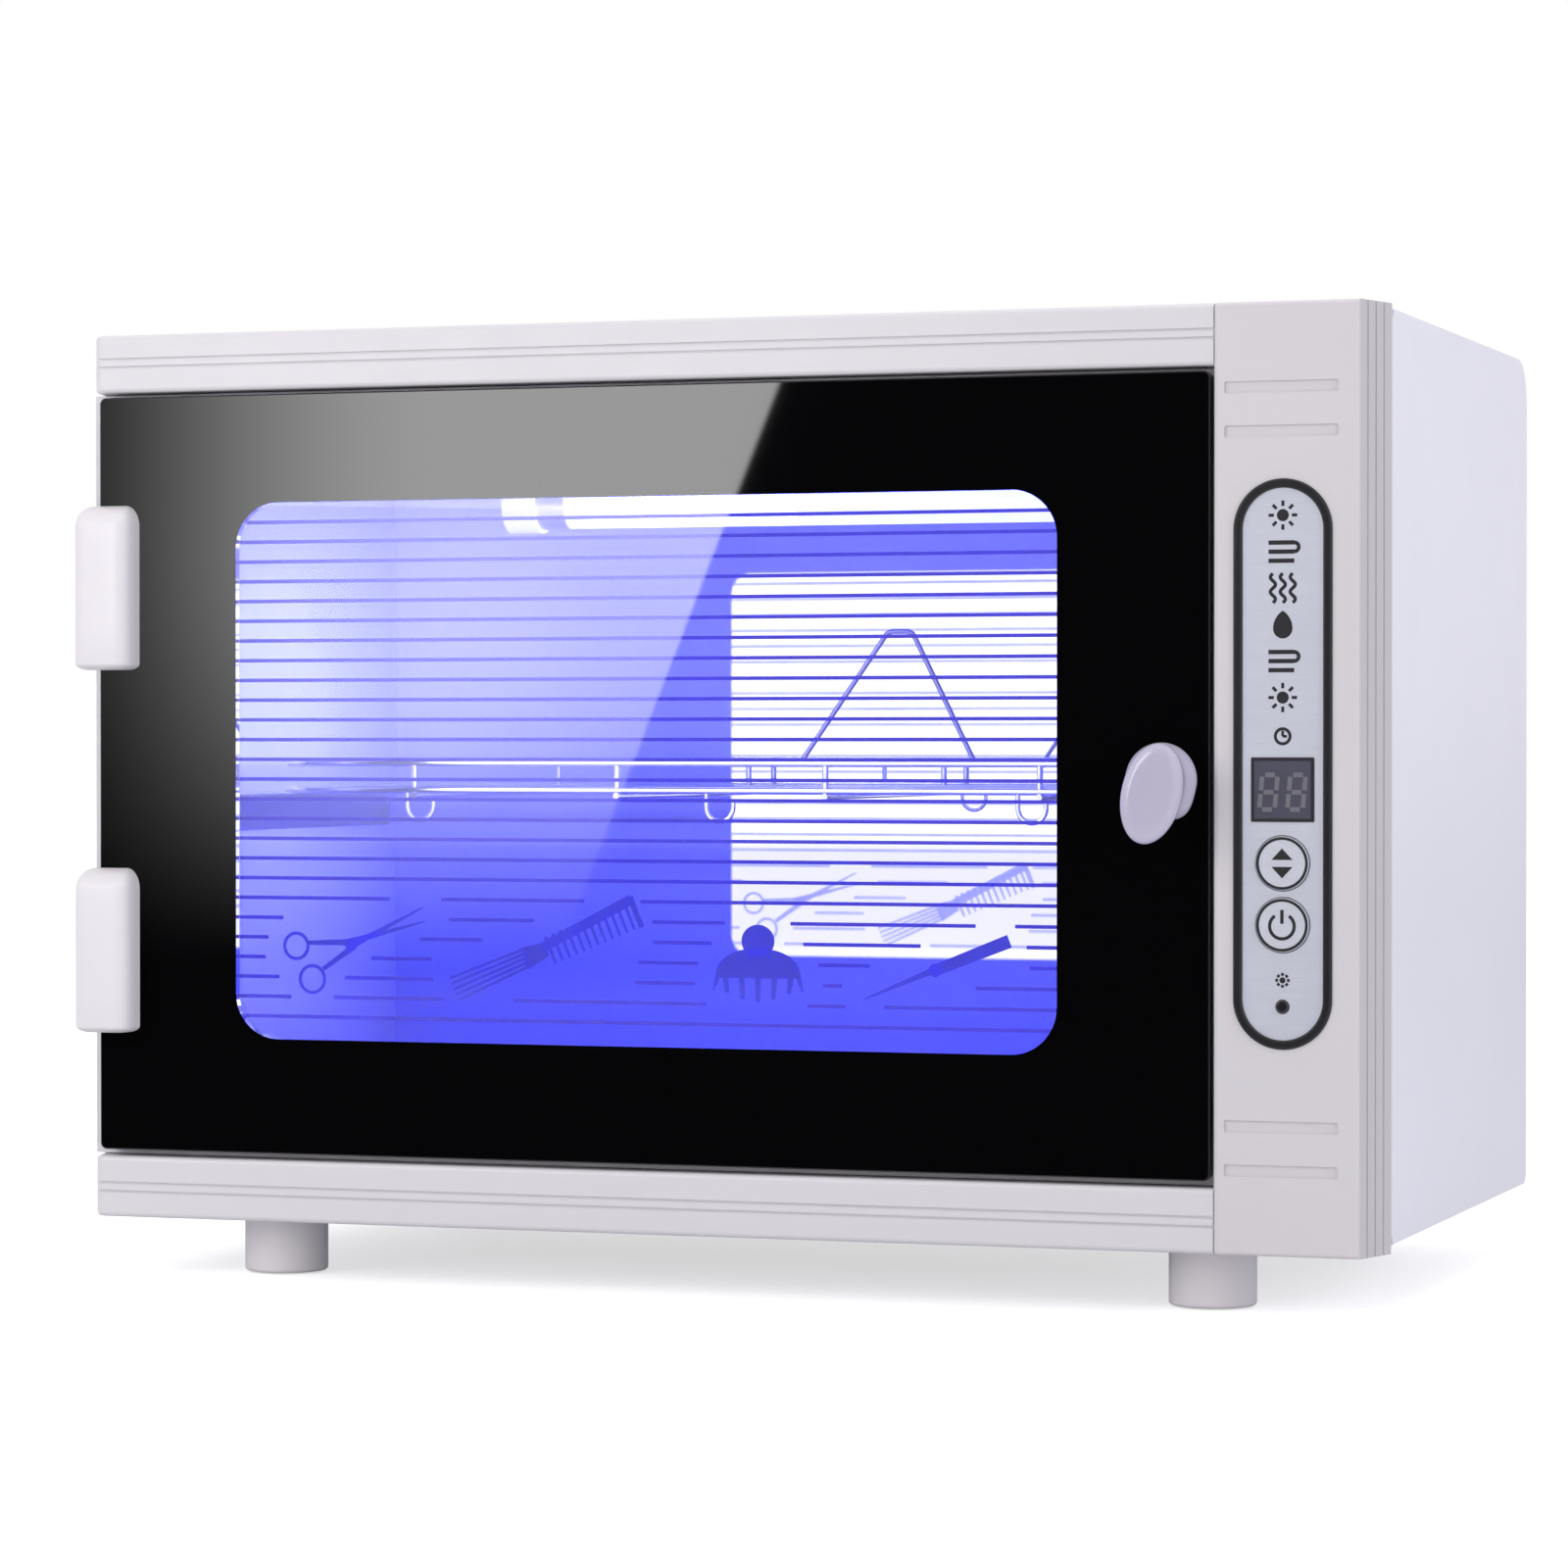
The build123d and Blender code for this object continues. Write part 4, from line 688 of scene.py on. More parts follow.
def dress(piece: Piece, finish: Finish) -> None:
    """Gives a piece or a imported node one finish."""
    if piece.data.materials:
        for slot in piece.material_slots:
            slot.link = "OBJECT"
            slot.material = finish.material()
    else:
        piece.data.materials.append(finish.material())
    if finish in UNMIRRORED:
        piece.visible_glossy = False


def dress_packed() -> None:
    """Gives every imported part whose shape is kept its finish."""
    for finish, names in PACKED.items():
        for name in names:
            dress(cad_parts[name], finish)
        log.info("%s: %d nodes", finish.name, len(names))


@dataclass
class DoorPrint:
    """The door's glass: its black printed border, the window's clear pane, the stripes and the symbols."""

    glass: tuple[float, float, float, float] = (1.5, 356.2, 21.0, 254.6)
    window: tuple[float, float, float, float] = (48.0, 310.5, 56.3, 221.3)
    glass_corner: float = 2.0
    corner: float = 14.0
    ease: float = 0.4
    pane_back: float = 4.0
    border_back: float = 4.15
    ink_front: float = 4.03
    stripe_back: float = 4.09
    symbol_back: float = 4.11
    slack: float = 0.02
    top_stripe: float = 215.3
    pitch: float = 6.08
    thickness: float = 1.1
    full_stripes: int = 19

    def border(self) -> None:
        """Makes the black border, a ring between the glass's outline and the window's, its rim eased.

        The section runs from the back edge up the outer wall, over a small ease onto the front
        face, across it to the window, and back along the window's wall; every row of the grid is
        the outline that belongs to one corner of that section.
        """
        left, right, low, high = self.glass
        ease = self.ease
        outer = rounded_box(left, right, low, high, self.glass_corner)
        eased = rounded_box(left + ease, right - ease, low + ease, high - ease, self.glass_corner - 0.3)
        inner = rounded_box(*self.window, self.corner)
        back = self.border_back
        rows = [(outer, back), (outer, ease), (eased, 0.0), (inner, 0.0), (inner, back)]
        points = np.stack([place(outline[:, 0], depth, outline[:, 1]) for outline, depth in rows])
        grid(points, wrap_rows=True, wrap_columns=True).mount(
            "door_border", Finish.BORDER, "door", "border_ink", "door_border_print")

    def pane(self) -> None:
        """Makes the clear pane of the window, flush with the border on both faces."""
        left, right, low, high = self.window
        slack = self.slack
        outline = rounded_box(left + slack, right - slack, low + slack, high - slack, self.corner - slack)
        plate(outline, 0.0, self.pane_back).mount(
            "window_pane", Finish.GLASS, "door", "door_glass", "door_glass")

    def edge(self, height: np.ndarray) -> np.ndarray:
        """Distance that the window's rounded corner takes from a line's end.

        The corner is a circle: the distance is the radius less the square root of the radius
        squared less the squared height above the corner's centre.

        Args:
            height: Heights of the lines.

        Returns:
            Distances from the window's straight edge.
        """
        near = np.minimum(height - self.window[2], self.window[3] - height)
        rise = np.clip(self.corner - near, 0.0, self.corner)
        return self.corner - np.sqrt(self.corner**2 - rise**2)

    def stripes(self) -> None:
        """Makes the stripes: whole lines above, and lines broken round the symbols below."""
        left, right = self.window[:2]
        whole = ((left, right),)
        broken = (
            ((left, 98.5), (115.4, 162.1), (180.1, right)),
            ((left, 62.8), (118.0, 145.9), (183.9, 207.0), (227.7, 285.1), (297.1, right)),
            ((left, 57.8), (108.3, 129.2), (184.2, 202.9), (231.7, 268.2), (300.6, right)),
            ((left, 56.8), (92.3, 112.2), (179.5, 198.6), (236.3, 252.5), (301.5, right)),
            ((left, 61.4), (83.5, 112.8), (178.5, 197.6), (237.8, 243.9), (285.1, right)),
            ((left, 65.4), (79.9, 116.3), (139.2, 201.4), (232.9, 245.1), (257.0, right)),
            whole,
        )
        rows = (whole,) * self.full_stripes + broken
        table = np.array([(start, end, self.top_stripe - self.pitch * row)
                          for row, parts in enumerate(rows) for start, end in parts])
        inset = self.edge(table[:, 2]) + 0.1
        starts = np.stack((np.maximum(table[:, 0], left + inset), table[:, 2]), axis=1)
        ends = np.stack((np.minimum(table[:, 1], right - inset), table[:, 2]), axis=1)
        bars(starts, ends, self.thickness, self.thickness, self.ink_front, self.stripe_back).mount(
            "window_stripes", Finish.STRIPES, "door", "border_ink")

    def flat(self, starts: Sequence[Pair], ends: Sequence[Pair], start_widths: Sequence[float] | float,
             end_widths: Sequence[float] | float) -> Shape:
        """Lays bars in the symbols' layer."""
        return bars(starts, ends, start_widths, end_widths, self.ink_front, self.symbol_back)

    def loop(self, centre: Pair, radius: float) -> Shape:
        """Lays a round ring, 1 mm wide, in the symbols' layer."""
        outer, inner = (ellipse(centre, reach, reach) for reach in (radius, radius - 1.0))
        return ring(outer, inner, self.ink_front, self.symbol_back)

    def patch(self, outline: np.ndarray) -> Shape:
        """Lays a filled outline in the symbols' layer."""
        return plate(outline, self.ink_front, self.symbol_back)

    def shears(self) -> Shape:
        """Open shears: two finger rings and two blades that cross at a pivot."""
        return join([
            self.loop((67.2, 85.0), 4.4),
            self.loop((72.6, 74.9), 4.6),
            self.flat([(70.8, 86.0), (76.2, 78.0), (84.0, 86.2), (84.0, 84.4)],
                      [(86.0, 86.4), (87.0, 85.4), (110.0, 93.0), (109.2, 97.2)],
                      (1.3, 1.3, 2.2, 2.2), (2.0, 2.0, 0.5, 0.5)),
            self.patch(ellipse((86.6, 86.2), 1.5, 1.5, 20)),
        ])

    def two_ended_comb(self) -> Shape:
        """A comb with long prongs at one end and short close teeth at the other, both on one spine."""
        tail, head = np.array([119.5, 72.5]), np.array([178.5, 97.0])
        along = (head - tail) / np.linalg.norm(head - tail)
        across = np.array([-along[1], along[0]])
        prongs = np.linspace(-3.6, 3.6, 5)[:, None] * across
        prong_root = tail + along * 26.0
        teeth = np.linspace(34.0, 61.5, 12)[:, None] * along + tail
        return join([
            self.flat(prong_root + prongs * 0.75, tail + prongs, 1.0, 0.7),
            self.flat([prong_root - along], [prong_root + along * 7.0], 7.2, 4.4),
            self.flat([prong_root + along * 6.0 + across * 1.0], [head + across * 3.6], 3.2, 3.2),
            self.flat(teeth + across * 3.6, teeth - across * 5.2, 1.1, 0.8),
            self.flat([head + across * 4.6], [head - across * 5.4], 2.0, 1.6),
        ])

    def claw_clip(self) -> Shape:
        """A claw clip: a round head over a domed back with five downward teeth."""
        middle = 217.5
        angle = np.linspace(0.0, math.pi, 30)
        dome = np.stack((middle + 13.4 * np.cos(angle), 77.3 + 9.0 * np.sin(angle) ** 0.8), axis=1)
        roots = np.linspace(207.2, 227.8, 5)
        lengths = np.array([4.6, 6.4, 7.2, 6.4, 4.6])
        starts = np.stack((roots, np.full(5, 77.6)), axis=1)
        ends = np.stack((middle + (roots - middle) * 0.94, 77.4 - lengths), axis=1)
        return join([
            self.patch(ellipse((middle, 88.4), 5.2, 4.9, 36)),
            self.patch(dome),
            self.flat(starts, ends, 2.0, 1.3),
            self.flat([(204.6, 77.4)], [(203.4, 73.4)], 1.6, 0.6),
            self.flat([(230.4, 77.4)], [(231.6, 73.4)], 1.6, 0.6),
        ])

    def razor(self) -> Shape:
        """A straight razor: a thin tapering handle and a heavier blade with a squared end."""
        return join([
            self.flat([(250.6, 71.6)], [(273.4, 81.0)], 0.6, 2.0),
            self.flat([(272.4, 80.4)], [(295.4, 89.4)], 3.4, 4.0),
            self.patch(ellipse((272.6, 80.5), 2.0, 2.0, 20)),
        ])

    def build(self) -> None:
        """Makes every printed piece of the door, the four tool symbols as one layer."""
        self.border()
        self.pane()
        self.stripes()
        symbols = join([self.shears(), self.two_ended_comb(), self.claw_clip(), self.razor()])
        symbols.mount("window_symbols", Finish.ICONS, "door", "border_ink")


@dataclass
class HingeCaps:
    """The hinge caps: moulded covers with a domed top, a soft right side and a slot for the knuckle."""

    heights: tuple[tuple[str, float], ...] = (("upper", 195.5), ("lower", 83.1))
    left: float = -3.7
    right: float = 15.2
    half_length: float = 25.5
    proud: float = 9.0
    dome: float = 6.5
    foot: float = 2.0
    foot_fall: float = 0.6
    dome_corners: tuple[float, float] = (4.0, 4.6)
    foot_corners: tuple[float, float] = (3.4, 4.0)
    sharpness: tuple[float, float] = (3.0, 1 / 0.45)
    slot: tuple[float, float, float] = (1.9, 6.4, 12.3)
    samples: int = 40

    def sections(self) -> tuple[np.ndarray, np.ndarray]:
        """Works out where the sections stand along the cap.

        They stand closer towards both ends, at the sines of evenly spaced angles, and twice at
        each end of the slot, once without it and once with it.

        Returns:
            Heights about the cap's middle, and whether the slot runs through each section.
        """
        sines = np.sin(np.radians(np.linspace(0.0, 83.0, 12)))
        slot_end = self.slot[2]
        low = -self.half_length + self.foot * (1.0 - sines[::-1])
        high = self.half_length - self.dome * (1.0 - sines)
        heights = np.concatenate((low, [-slot_end, -slot_end, slot_end, slot_end], high))
        slotted = np.zeros(len(heights), bool)
        slotted[len(low) + 1 : len(low) + 3] = True
        return heights, slotted

    def shape(self, middle: float) -> Shape:
        """Lofts one cap.

        A section is half a squared oval on the glass: the half width times the cosine and the
        reach times the sine of an angle, each raised to a power below one, which is higher on the
        right, where the side is softer. The reach falls towards both ends as a quarter ellipse,
        and so do the two sides, which rounds the outline's corners.

        Args:
            middle: Height of the cap's middle.

        Returns:
            A closed shape.
        """
        heights, slotted = self.sections()
        to_top = np.clip((heights - self.half_length) / self.dome + 1.0, 0.0, 1.0)
        to_foot = np.clip((-heights - self.half_length) / self.foot + 1.0, 0.0, 1.0)
        reach = self.proud * np.sqrt(1.0 - to_top**2) * np.sqrt(1.0 - self.foot_fall * to_foot**2)
        rounding = np.stack((1.0 - np.sqrt(1.0 - to_top**2), 1.0 - np.sqrt(1.0 - to_foot**2)))
        left_corners, right_corners = np.array((self.dome_corners, self.foot_corners)).T
        left = self.left + left_corners @ rounding
        right = self.right - right_corners @ rounding
        inner, depth, _ = self.slot
        last = math.pi - math.asin((depth / self.proud) ** self.sharpness[0])
        angle = np.linspace(0.0, last, self.samples)
        cos, sin = np.cos(angle), np.sin(angle)
        power = 1.0 / np.where(cos > 0, self.sharpness[1], self.sharpness[0])
        across = np.sign(cos) * np.abs(cos) ** power
        x = (left + right)[:, None] / 2 + (right - left)[:, None] / 2 * across
        out = reach[:, None] * np.abs(sin) ** power
        back_x = np.stack((np.where(slotted, inner, left), np.full(len(heights), inner)), axis=1)
        back_out = np.stack((np.where(slotted, depth, 0.0), np.zeros(len(heights))), axis=1)
        points = place(np.concatenate((x, back_x), axis=1), -np.concatenate((out, back_out), axis=1),
                       (middle + heights)[:, None])[:, ::-1]
        body = grid(points, wrap_columns=True)
        loop = np.arange(points.shape[1])
        top = loop + len(body.points) - len(loop)
        return Shape(body.points, body.faces + [loop[::-1].tolist(), top.tolist()]).welded()

    def build(self) -> None:
        """Makes both caps."""
        for name, middle in self.heights:
            piece = self.shape(middle).mount(f"{name}_cap", Finish.HINGE_CAP, "door", "hinge_white",
                                             f"{name}_hinge_cap", smooth=True)
            piece.data.set_sharp_from_angle(angle=math.radians(40.0))


@dataclass
class Knob:
    """The door knob: oval rings from the base on the glass through the neck to the overhanging grip.

    A ring is its reach from the glass, the x and height of its middle, its half width and half
    height, and the power that fills out its lower right quarter.
    """

    rings: tuple[tuple[float, float, float, float, float, float], ...] = (
        (0.05, 342.0, 136.7, 10.6, 10.8, 0.6),
        (1.2, 342.0, 136.7, 10.8, 11.0, 0.6),
        (2.6, 342.0, 136.7, 10.3, 10.5, 0.6),
        (4.4, 342.1, 136.5, 8.8, 9.6, 0.65),
        (6.6, 342.3, 136.0, 7.9, 9.3, 0.75),
        (9.2, 342.6, 135.0, 7.9, 10.4, 0.9),
        (11.8, 342.8, 134.0, 8.3, 12.4, 1.0),
        (13.8, 343.0, 133.3, 8.8, 14.2, 1.0),
        (15.6, 343.0, 132.9, 9.0, 15.0, 1.0),
        (17.0, 343.0, 132.9, 8.7, 14.6, 1.0),
        (17.7, 343.0, 132.9, 7.6, 13.4, 1.0),
        (17.95, 343.0, 132.9, 5.6, 10.0, 1.0),
        (17.8, 343.0, 132.9, 2.6, 5.0, 1.0),
    )
    tip: tuple[float, float, float] = (343.0, -17.75, 132.9)
    base: tuple[float, float, float] = (342.0, -0.05, 136.7)
    tilt: float = -13.0
    sides: int = 36

    def build(self) -> None:
        """Makes the knob.

        Every ring is an ellipse about its own centre, turned by the grip's tilt; in its lower
        right quarter the cosine and sine are raised to the ring's power, which fills out the
        base's corner. Rows of rings run outwards along the reach, and one point at the middle
        closes each end.
        """
        reach, middle_x, middle_z, half_width, half_height, fill = np.array(self.rings).T[:, :, None]
        angle = np.linspace(0.0, 2 * math.pi, self.sides, endpoint=False)
        across, up = np.cos(angle), np.sin(angle)
        power = np.where((across > 0) & (up < 0), fill, 1.0)
        own_x = half_width * np.sign(across) * np.abs(across) ** power
        own_z = half_height * np.sign(up) * np.abs(up) ** power
        cos, sin = math.cos(math.radians(self.tilt)), math.sin(math.radians(self.tilt))
        body = grid(place(middle_x + own_x * cos - own_z * sin, -reach, middle_z + own_x * sin + own_z * cos),
                    wrap_columns=True)
        count = len(body.points)
        points = np.concatenate((body.points, [place(*self.tip), place(*self.base)]))
        first = np.arange(self.sides)
        after = np.roll(first, -1)
        last = count - self.sides
        tip = np.stack((first + last, after + last, np.full(self.sides, count)), axis=-1)
        base = np.stack((first, np.full(self.sides, count + 1), after), axis=-1)
        piece = Shape(points, body.faces + tip.tolist() + base.tolist()).mount(
            "door_knob", Finish.KNOB, "door", "pearl_knob", "knob", smooth=True)
        soften = piece.modifiers.new("Soften", "SUBSURF")
        soften.levels = soften.render_levels = 2


class Pictogram(Enum):
    """Plain pictograms on the panel's label."""

    RAYS = "lamp rays"
    TOWEL = "folded towel"
    WAVES = "rising warmth"
    DROP = "drop"
    CLOCK = "clock"


@dataclass
class ControlPanel:
    """Printed and inlaid details of the control column: label pictograms, button symbols and digits."""

    centre: float = 377.8
    label_face: float = -0.8
    button_face: float = -1.6
    display_face: float = -1.0
    ink: float = 0.03
    root: float = 0.01
    display_height: float = 133.3
    select_height: float = 112.9
    power_height: float = 95.2

    def layer(self, face: float) -> tuple[float, float]:
        """Returns the depths of the front and back of the ink on a face."""
        return face - self.ink, face + self.root

    def lines(self, middle: Pair, segments: Sequence[Pair], width: float, face: float) -> Shape:
        """Lays bars given relative to a middle point.

        Args:
            middle: The x and height that the segments are measured from.
            segments: Rows of start x, start height, end x and end height.
            width: Width of the lines.
            face: Depth of the surface that carries them.

        Returns:
            The lines as one shape, standing proud by the ink's thickness.
        """
        table = np.array(segments, float)
        offset = np.array(middle, float)
        return bars(table[:, :2] + offset, table[:, 2:] + offset, width, width, *self.layer(face))

    def hoop(self, middle: Pair, radius: float, width: float, face: float) -> Shape:
        """Lays a round ring about a middle point."""
        return ring(ellipse(middle, radius, radius, 40), ellipse(middle, radius - width, radius - width, 40),
                    *self.layer(face))

    def curve(self, points: np.ndarray, width: float, face: float) -> Shape:
        """Lays a line of even width along points.

        Each point is moved to both sides along the unit normal of the line there, which is the
        gradient of the points turned by a right angle.

        Args:
            points: Rows of x and height.
            width: Width of the line.
            face: Depth of the surface that carries it.

        Returns:
            A closed flat strip.
        """
        slope = np.gradient(points, axis=0)
        slope /= np.linalg.norm(slope, axis=1, keepdims=True)
        normal = np.stack((-slope[:, 1], slope[:, 0]), axis=1) * width / 2
        return plate(np.concatenate((points - normal, (points + normal)[::-1])), *self.layer(face))

    def pictogram(self, kind: Pictogram, height: float, size: float = 4.2) -> Shape:
        """Draws one pictogram about the label's centre line.

        Args:
            kind: Which one.
            height: Height of its middle.
            size: Half its overall size.

        Returns:
            Its shape on the label.
        """
        middle = (self.centre, height)
        face = self.label_face
        if kind is Pictogram.RAYS:
            way = arc((0.0, 0.0), 1.0, 1.0, np.radians(np.arange(0, 360, 45)))
            spokes = np.concatenate((way * size * 0.62, way * size), axis=1)
            core = plate(ellipse(middle, size * 0.42, size * 0.42, 28), *self.layer(face))
            return join([self.lines(middle, spokes, 0.9, face), core])
        if kind is Pictogram.TOWEL:
            layers = [(-size, row, size * 0.8, row) for row in np.linspace(-0.62, 0.62, 3) * size]
            bend = arc((middle[0] + size * 0.8, middle[1] + size * 0.31), size * 0.31, size * 0.31,
                       np.radians(np.linspace(-90, 90, 14)))
            return join([self.lines(middle, layers, 1.25, face), self.curve(bend, 1.1, face)])
        if kind is Pictogram.WAVES:
            rise = np.linspace(-size, size, 28)
            sway = 0.75 * np.sin(rise / size * 2.0 * math.pi)
            return join([self.curve(np.stack((middle[0] + sway + shift, middle[1] + rise), axis=1), 1.0, face)
                         for shift in (-2.9, 0.0, 2.9)])
        if kind is Pictogram.DROP:
            angle = np.linspace(0.0, 2 * math.pi, 40, endpoint=False)
            above = np.sin(angle) > 0
            half_width = size * 0.68 * np.where(above, np.abs(np.cos(angle)), 1.0) ** 0.6
            half_height = size * 0.7 * np.where(above, 1.7, 1.0)
            outline = arc((middle[0], middle[1] - size * 0.25), half_width, half_height, angle)
            return plate(outline, *self.layer(face))
        hands = [(0.0, 0.0, 0.0, size * 0.62), (0.0, 0.0, size * 0.48, 0.0)]
        return join([self.hoop(middle, size, 0.9, face), self.lines(middle, hands, 0.8, face)])

    def label_print(self) -> None:
        """Makes the label's column of pictograms, the clock over the display and the mark over the light."""
        column = (Pictogram.RAYS, Pictogram.TOWEL, Pictogram.WAVES, Pictogram.DROP, Pictogram.TOWEL,
                  Pictogram.RAYS)
        heights = np.linspace(212.6, 160.4, len(column))
        shapes = [self.pictogram(kind, height) for kind, height in zip(column, heights)]
        small = [self.pictogram(Pictogram.CLOCK, 149.3, 2.6), self.pictogram(Pictogram.RAYS, 79.4, 2.1)]
        join(shapes + small).mount("label_pictograms", Finish.LABEL_INK, "cabinet", "ring_black")

    def button_mark(self, name: str, height: float, symbol: Sequence[Shape]) -> None:
        """Makes the ring round one button's edge and the symbol inside it."""
        hoop = self.hoop((self.centre, height), 7.6, 0.85, self.button_face)
        join([hoop, *symbol]).mount(f"{name}_mark", Finish.LABEL_INK, f"{name}_key", "ring_black")

    def button_marks(self) -> None:
        """Makes the pair of arrowheads on the upper button and the broken circle on the lower one."""
        arrow = np.array([[-3.1, 1.0], [3.1, 1.0], [0.0, 4.3]])
        middle = (self.centre, self.select_height)
        arrows = [plate(outline + middle, *self.layer(self.button_face)) for outline in (arrow, -arrow)]
        self.button_mark("select", self.select_height, arrows)
        angle = np.radians(np.linspace(125.0, 415.0, 40))
        broken = arc((self.centre, self.power_height - 0.3), 3.6, 3.6, angle)
        stroke = self.lines((self.centre, self.power_height), [(0.0, 0.4, 0.0, 4.4)], 1.0, self.button_face)
        self.button_mark("power", self.power_height, [self.curve(broken, 0.95, self.button_face), stroke])

    def digits(self) -> None:
        """Makes two unlit seven-part digits behind the display's face."""
        half, rise, width, gap, slant = 2.25, 4.96, 1.35, 0.85, 0.09
        end = gap * 0.62
        table = np.array([
            *[(gap - half, level, half - gap, level) for level in (rise, 0.0, -rise)],
            *[(side * half, level + end, side * half, level + rise - end)
              for side in (-1, 1) for level in (-rise, 0.0)],
        ])
        table[:, ::2] += table[:, 1::2] * slant
        shapes = [self.lines((self.centre + shift, self.display_height), table, width, self.display_face)
                  for shift in (-4.1, 4.1)]
        join(shapes).mount("display_digits", Finish.SEGMENT, "cabinet", "display_body")

    def display_rim(self) -> None:
        """Makes the dark rim printed round the display's face."""
        (left, _, low), (right, _, high) = (np.array(end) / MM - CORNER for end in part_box("display_window"))
        outer = rounded_box(left, right, low, high, 0.6)
        inner = rounded_box(left + 1.0, right - 1.0, low + 1.0, high - 1.0, 0.3)
        ring(outer, inner, *self.layer(self.display_face)).mount(
            "display_rim", Finish.LABEL_INK, "cabinet", "ring_black")

    def build(self) -> None:
        """Makes every printed piece of the control column."""
        self.label_print()
        self.button_marks()
        self.digits()
        self.display_rim()


@dataclass
class ScrewRecesses:
    """Cross recesses in the heads of the screws that show, drawn as dark crosses laid on the heads: painted
    shade in place of hollows.
    """

    case: tuple[tuple[float, float], ...] = tuple((x, z) for x in (1.5, 398.5) for z in (40.0, 137.0, 234.0))
    inlet: tuple[tuple[float, float], ...] = ((378.0, 32.0), (378.0, 72.0))
    hinge_heights: tuple[float, ...] = (70.11, 96.11, 182.49, 208.49)
    knob: tuple[tuple[float, float], ...] = ((342.0, 136.7),)

    def crosses(self, points: Sequence[Pair], size: float, face: float, way: int) -> Shape:
        """Lays a cross on each head, two bars at a right angle, each head's turned further than the last.

        Args:
            points: Screw centres as x and height.
            size: Length of a bar.
            face: Depth of the heads' faces.
            way: 1 where the heads face the rear, -1 where they face the viewer.

        Returns:
            The crosses as one shape.
        """
        centres = np.repeat(np.array(points, float), 2, axis=0)
        count = len(points)
        angle = np.repeat(0.65 * np.arange(count) + 0.3, 2) + np.tile([0.0, math.pi / 2], count)
        half = arc((0.0, 0.0), size / 2, size / 2, angle)
        faces = sorted((face - way * 0.05, face + way * 0.01))
        return bars(centres - half, centres + half, size * 0.24, size * 0.24, *faces)

    def build(self) -> None:
        """Makes the crosses of the cabinet's screws and of the door's."""
        leaves = [(8.0, height) for height in self.hinge_heights]
        clamps = [(10.0, height) for height in self.hinge_heights]
        groups = {
            "cabinet": ((self.case, 3.4, 233.6, 1), (self.inlet, 3.0, 234.0, 1), (leaves, 3.2, 7.0, -1)),
            "door": ((clamps, 3.2, 6.45, 1), (self.knob, 4.4, 7.35, 1)),
        }
        for body, rows in groups.items():
            shape = join([self.crosses(*row) for row in rows])
            shape.mount(f"{body}_screw_recesses", Finish.RECESS_SHADE, body, "ring_black")


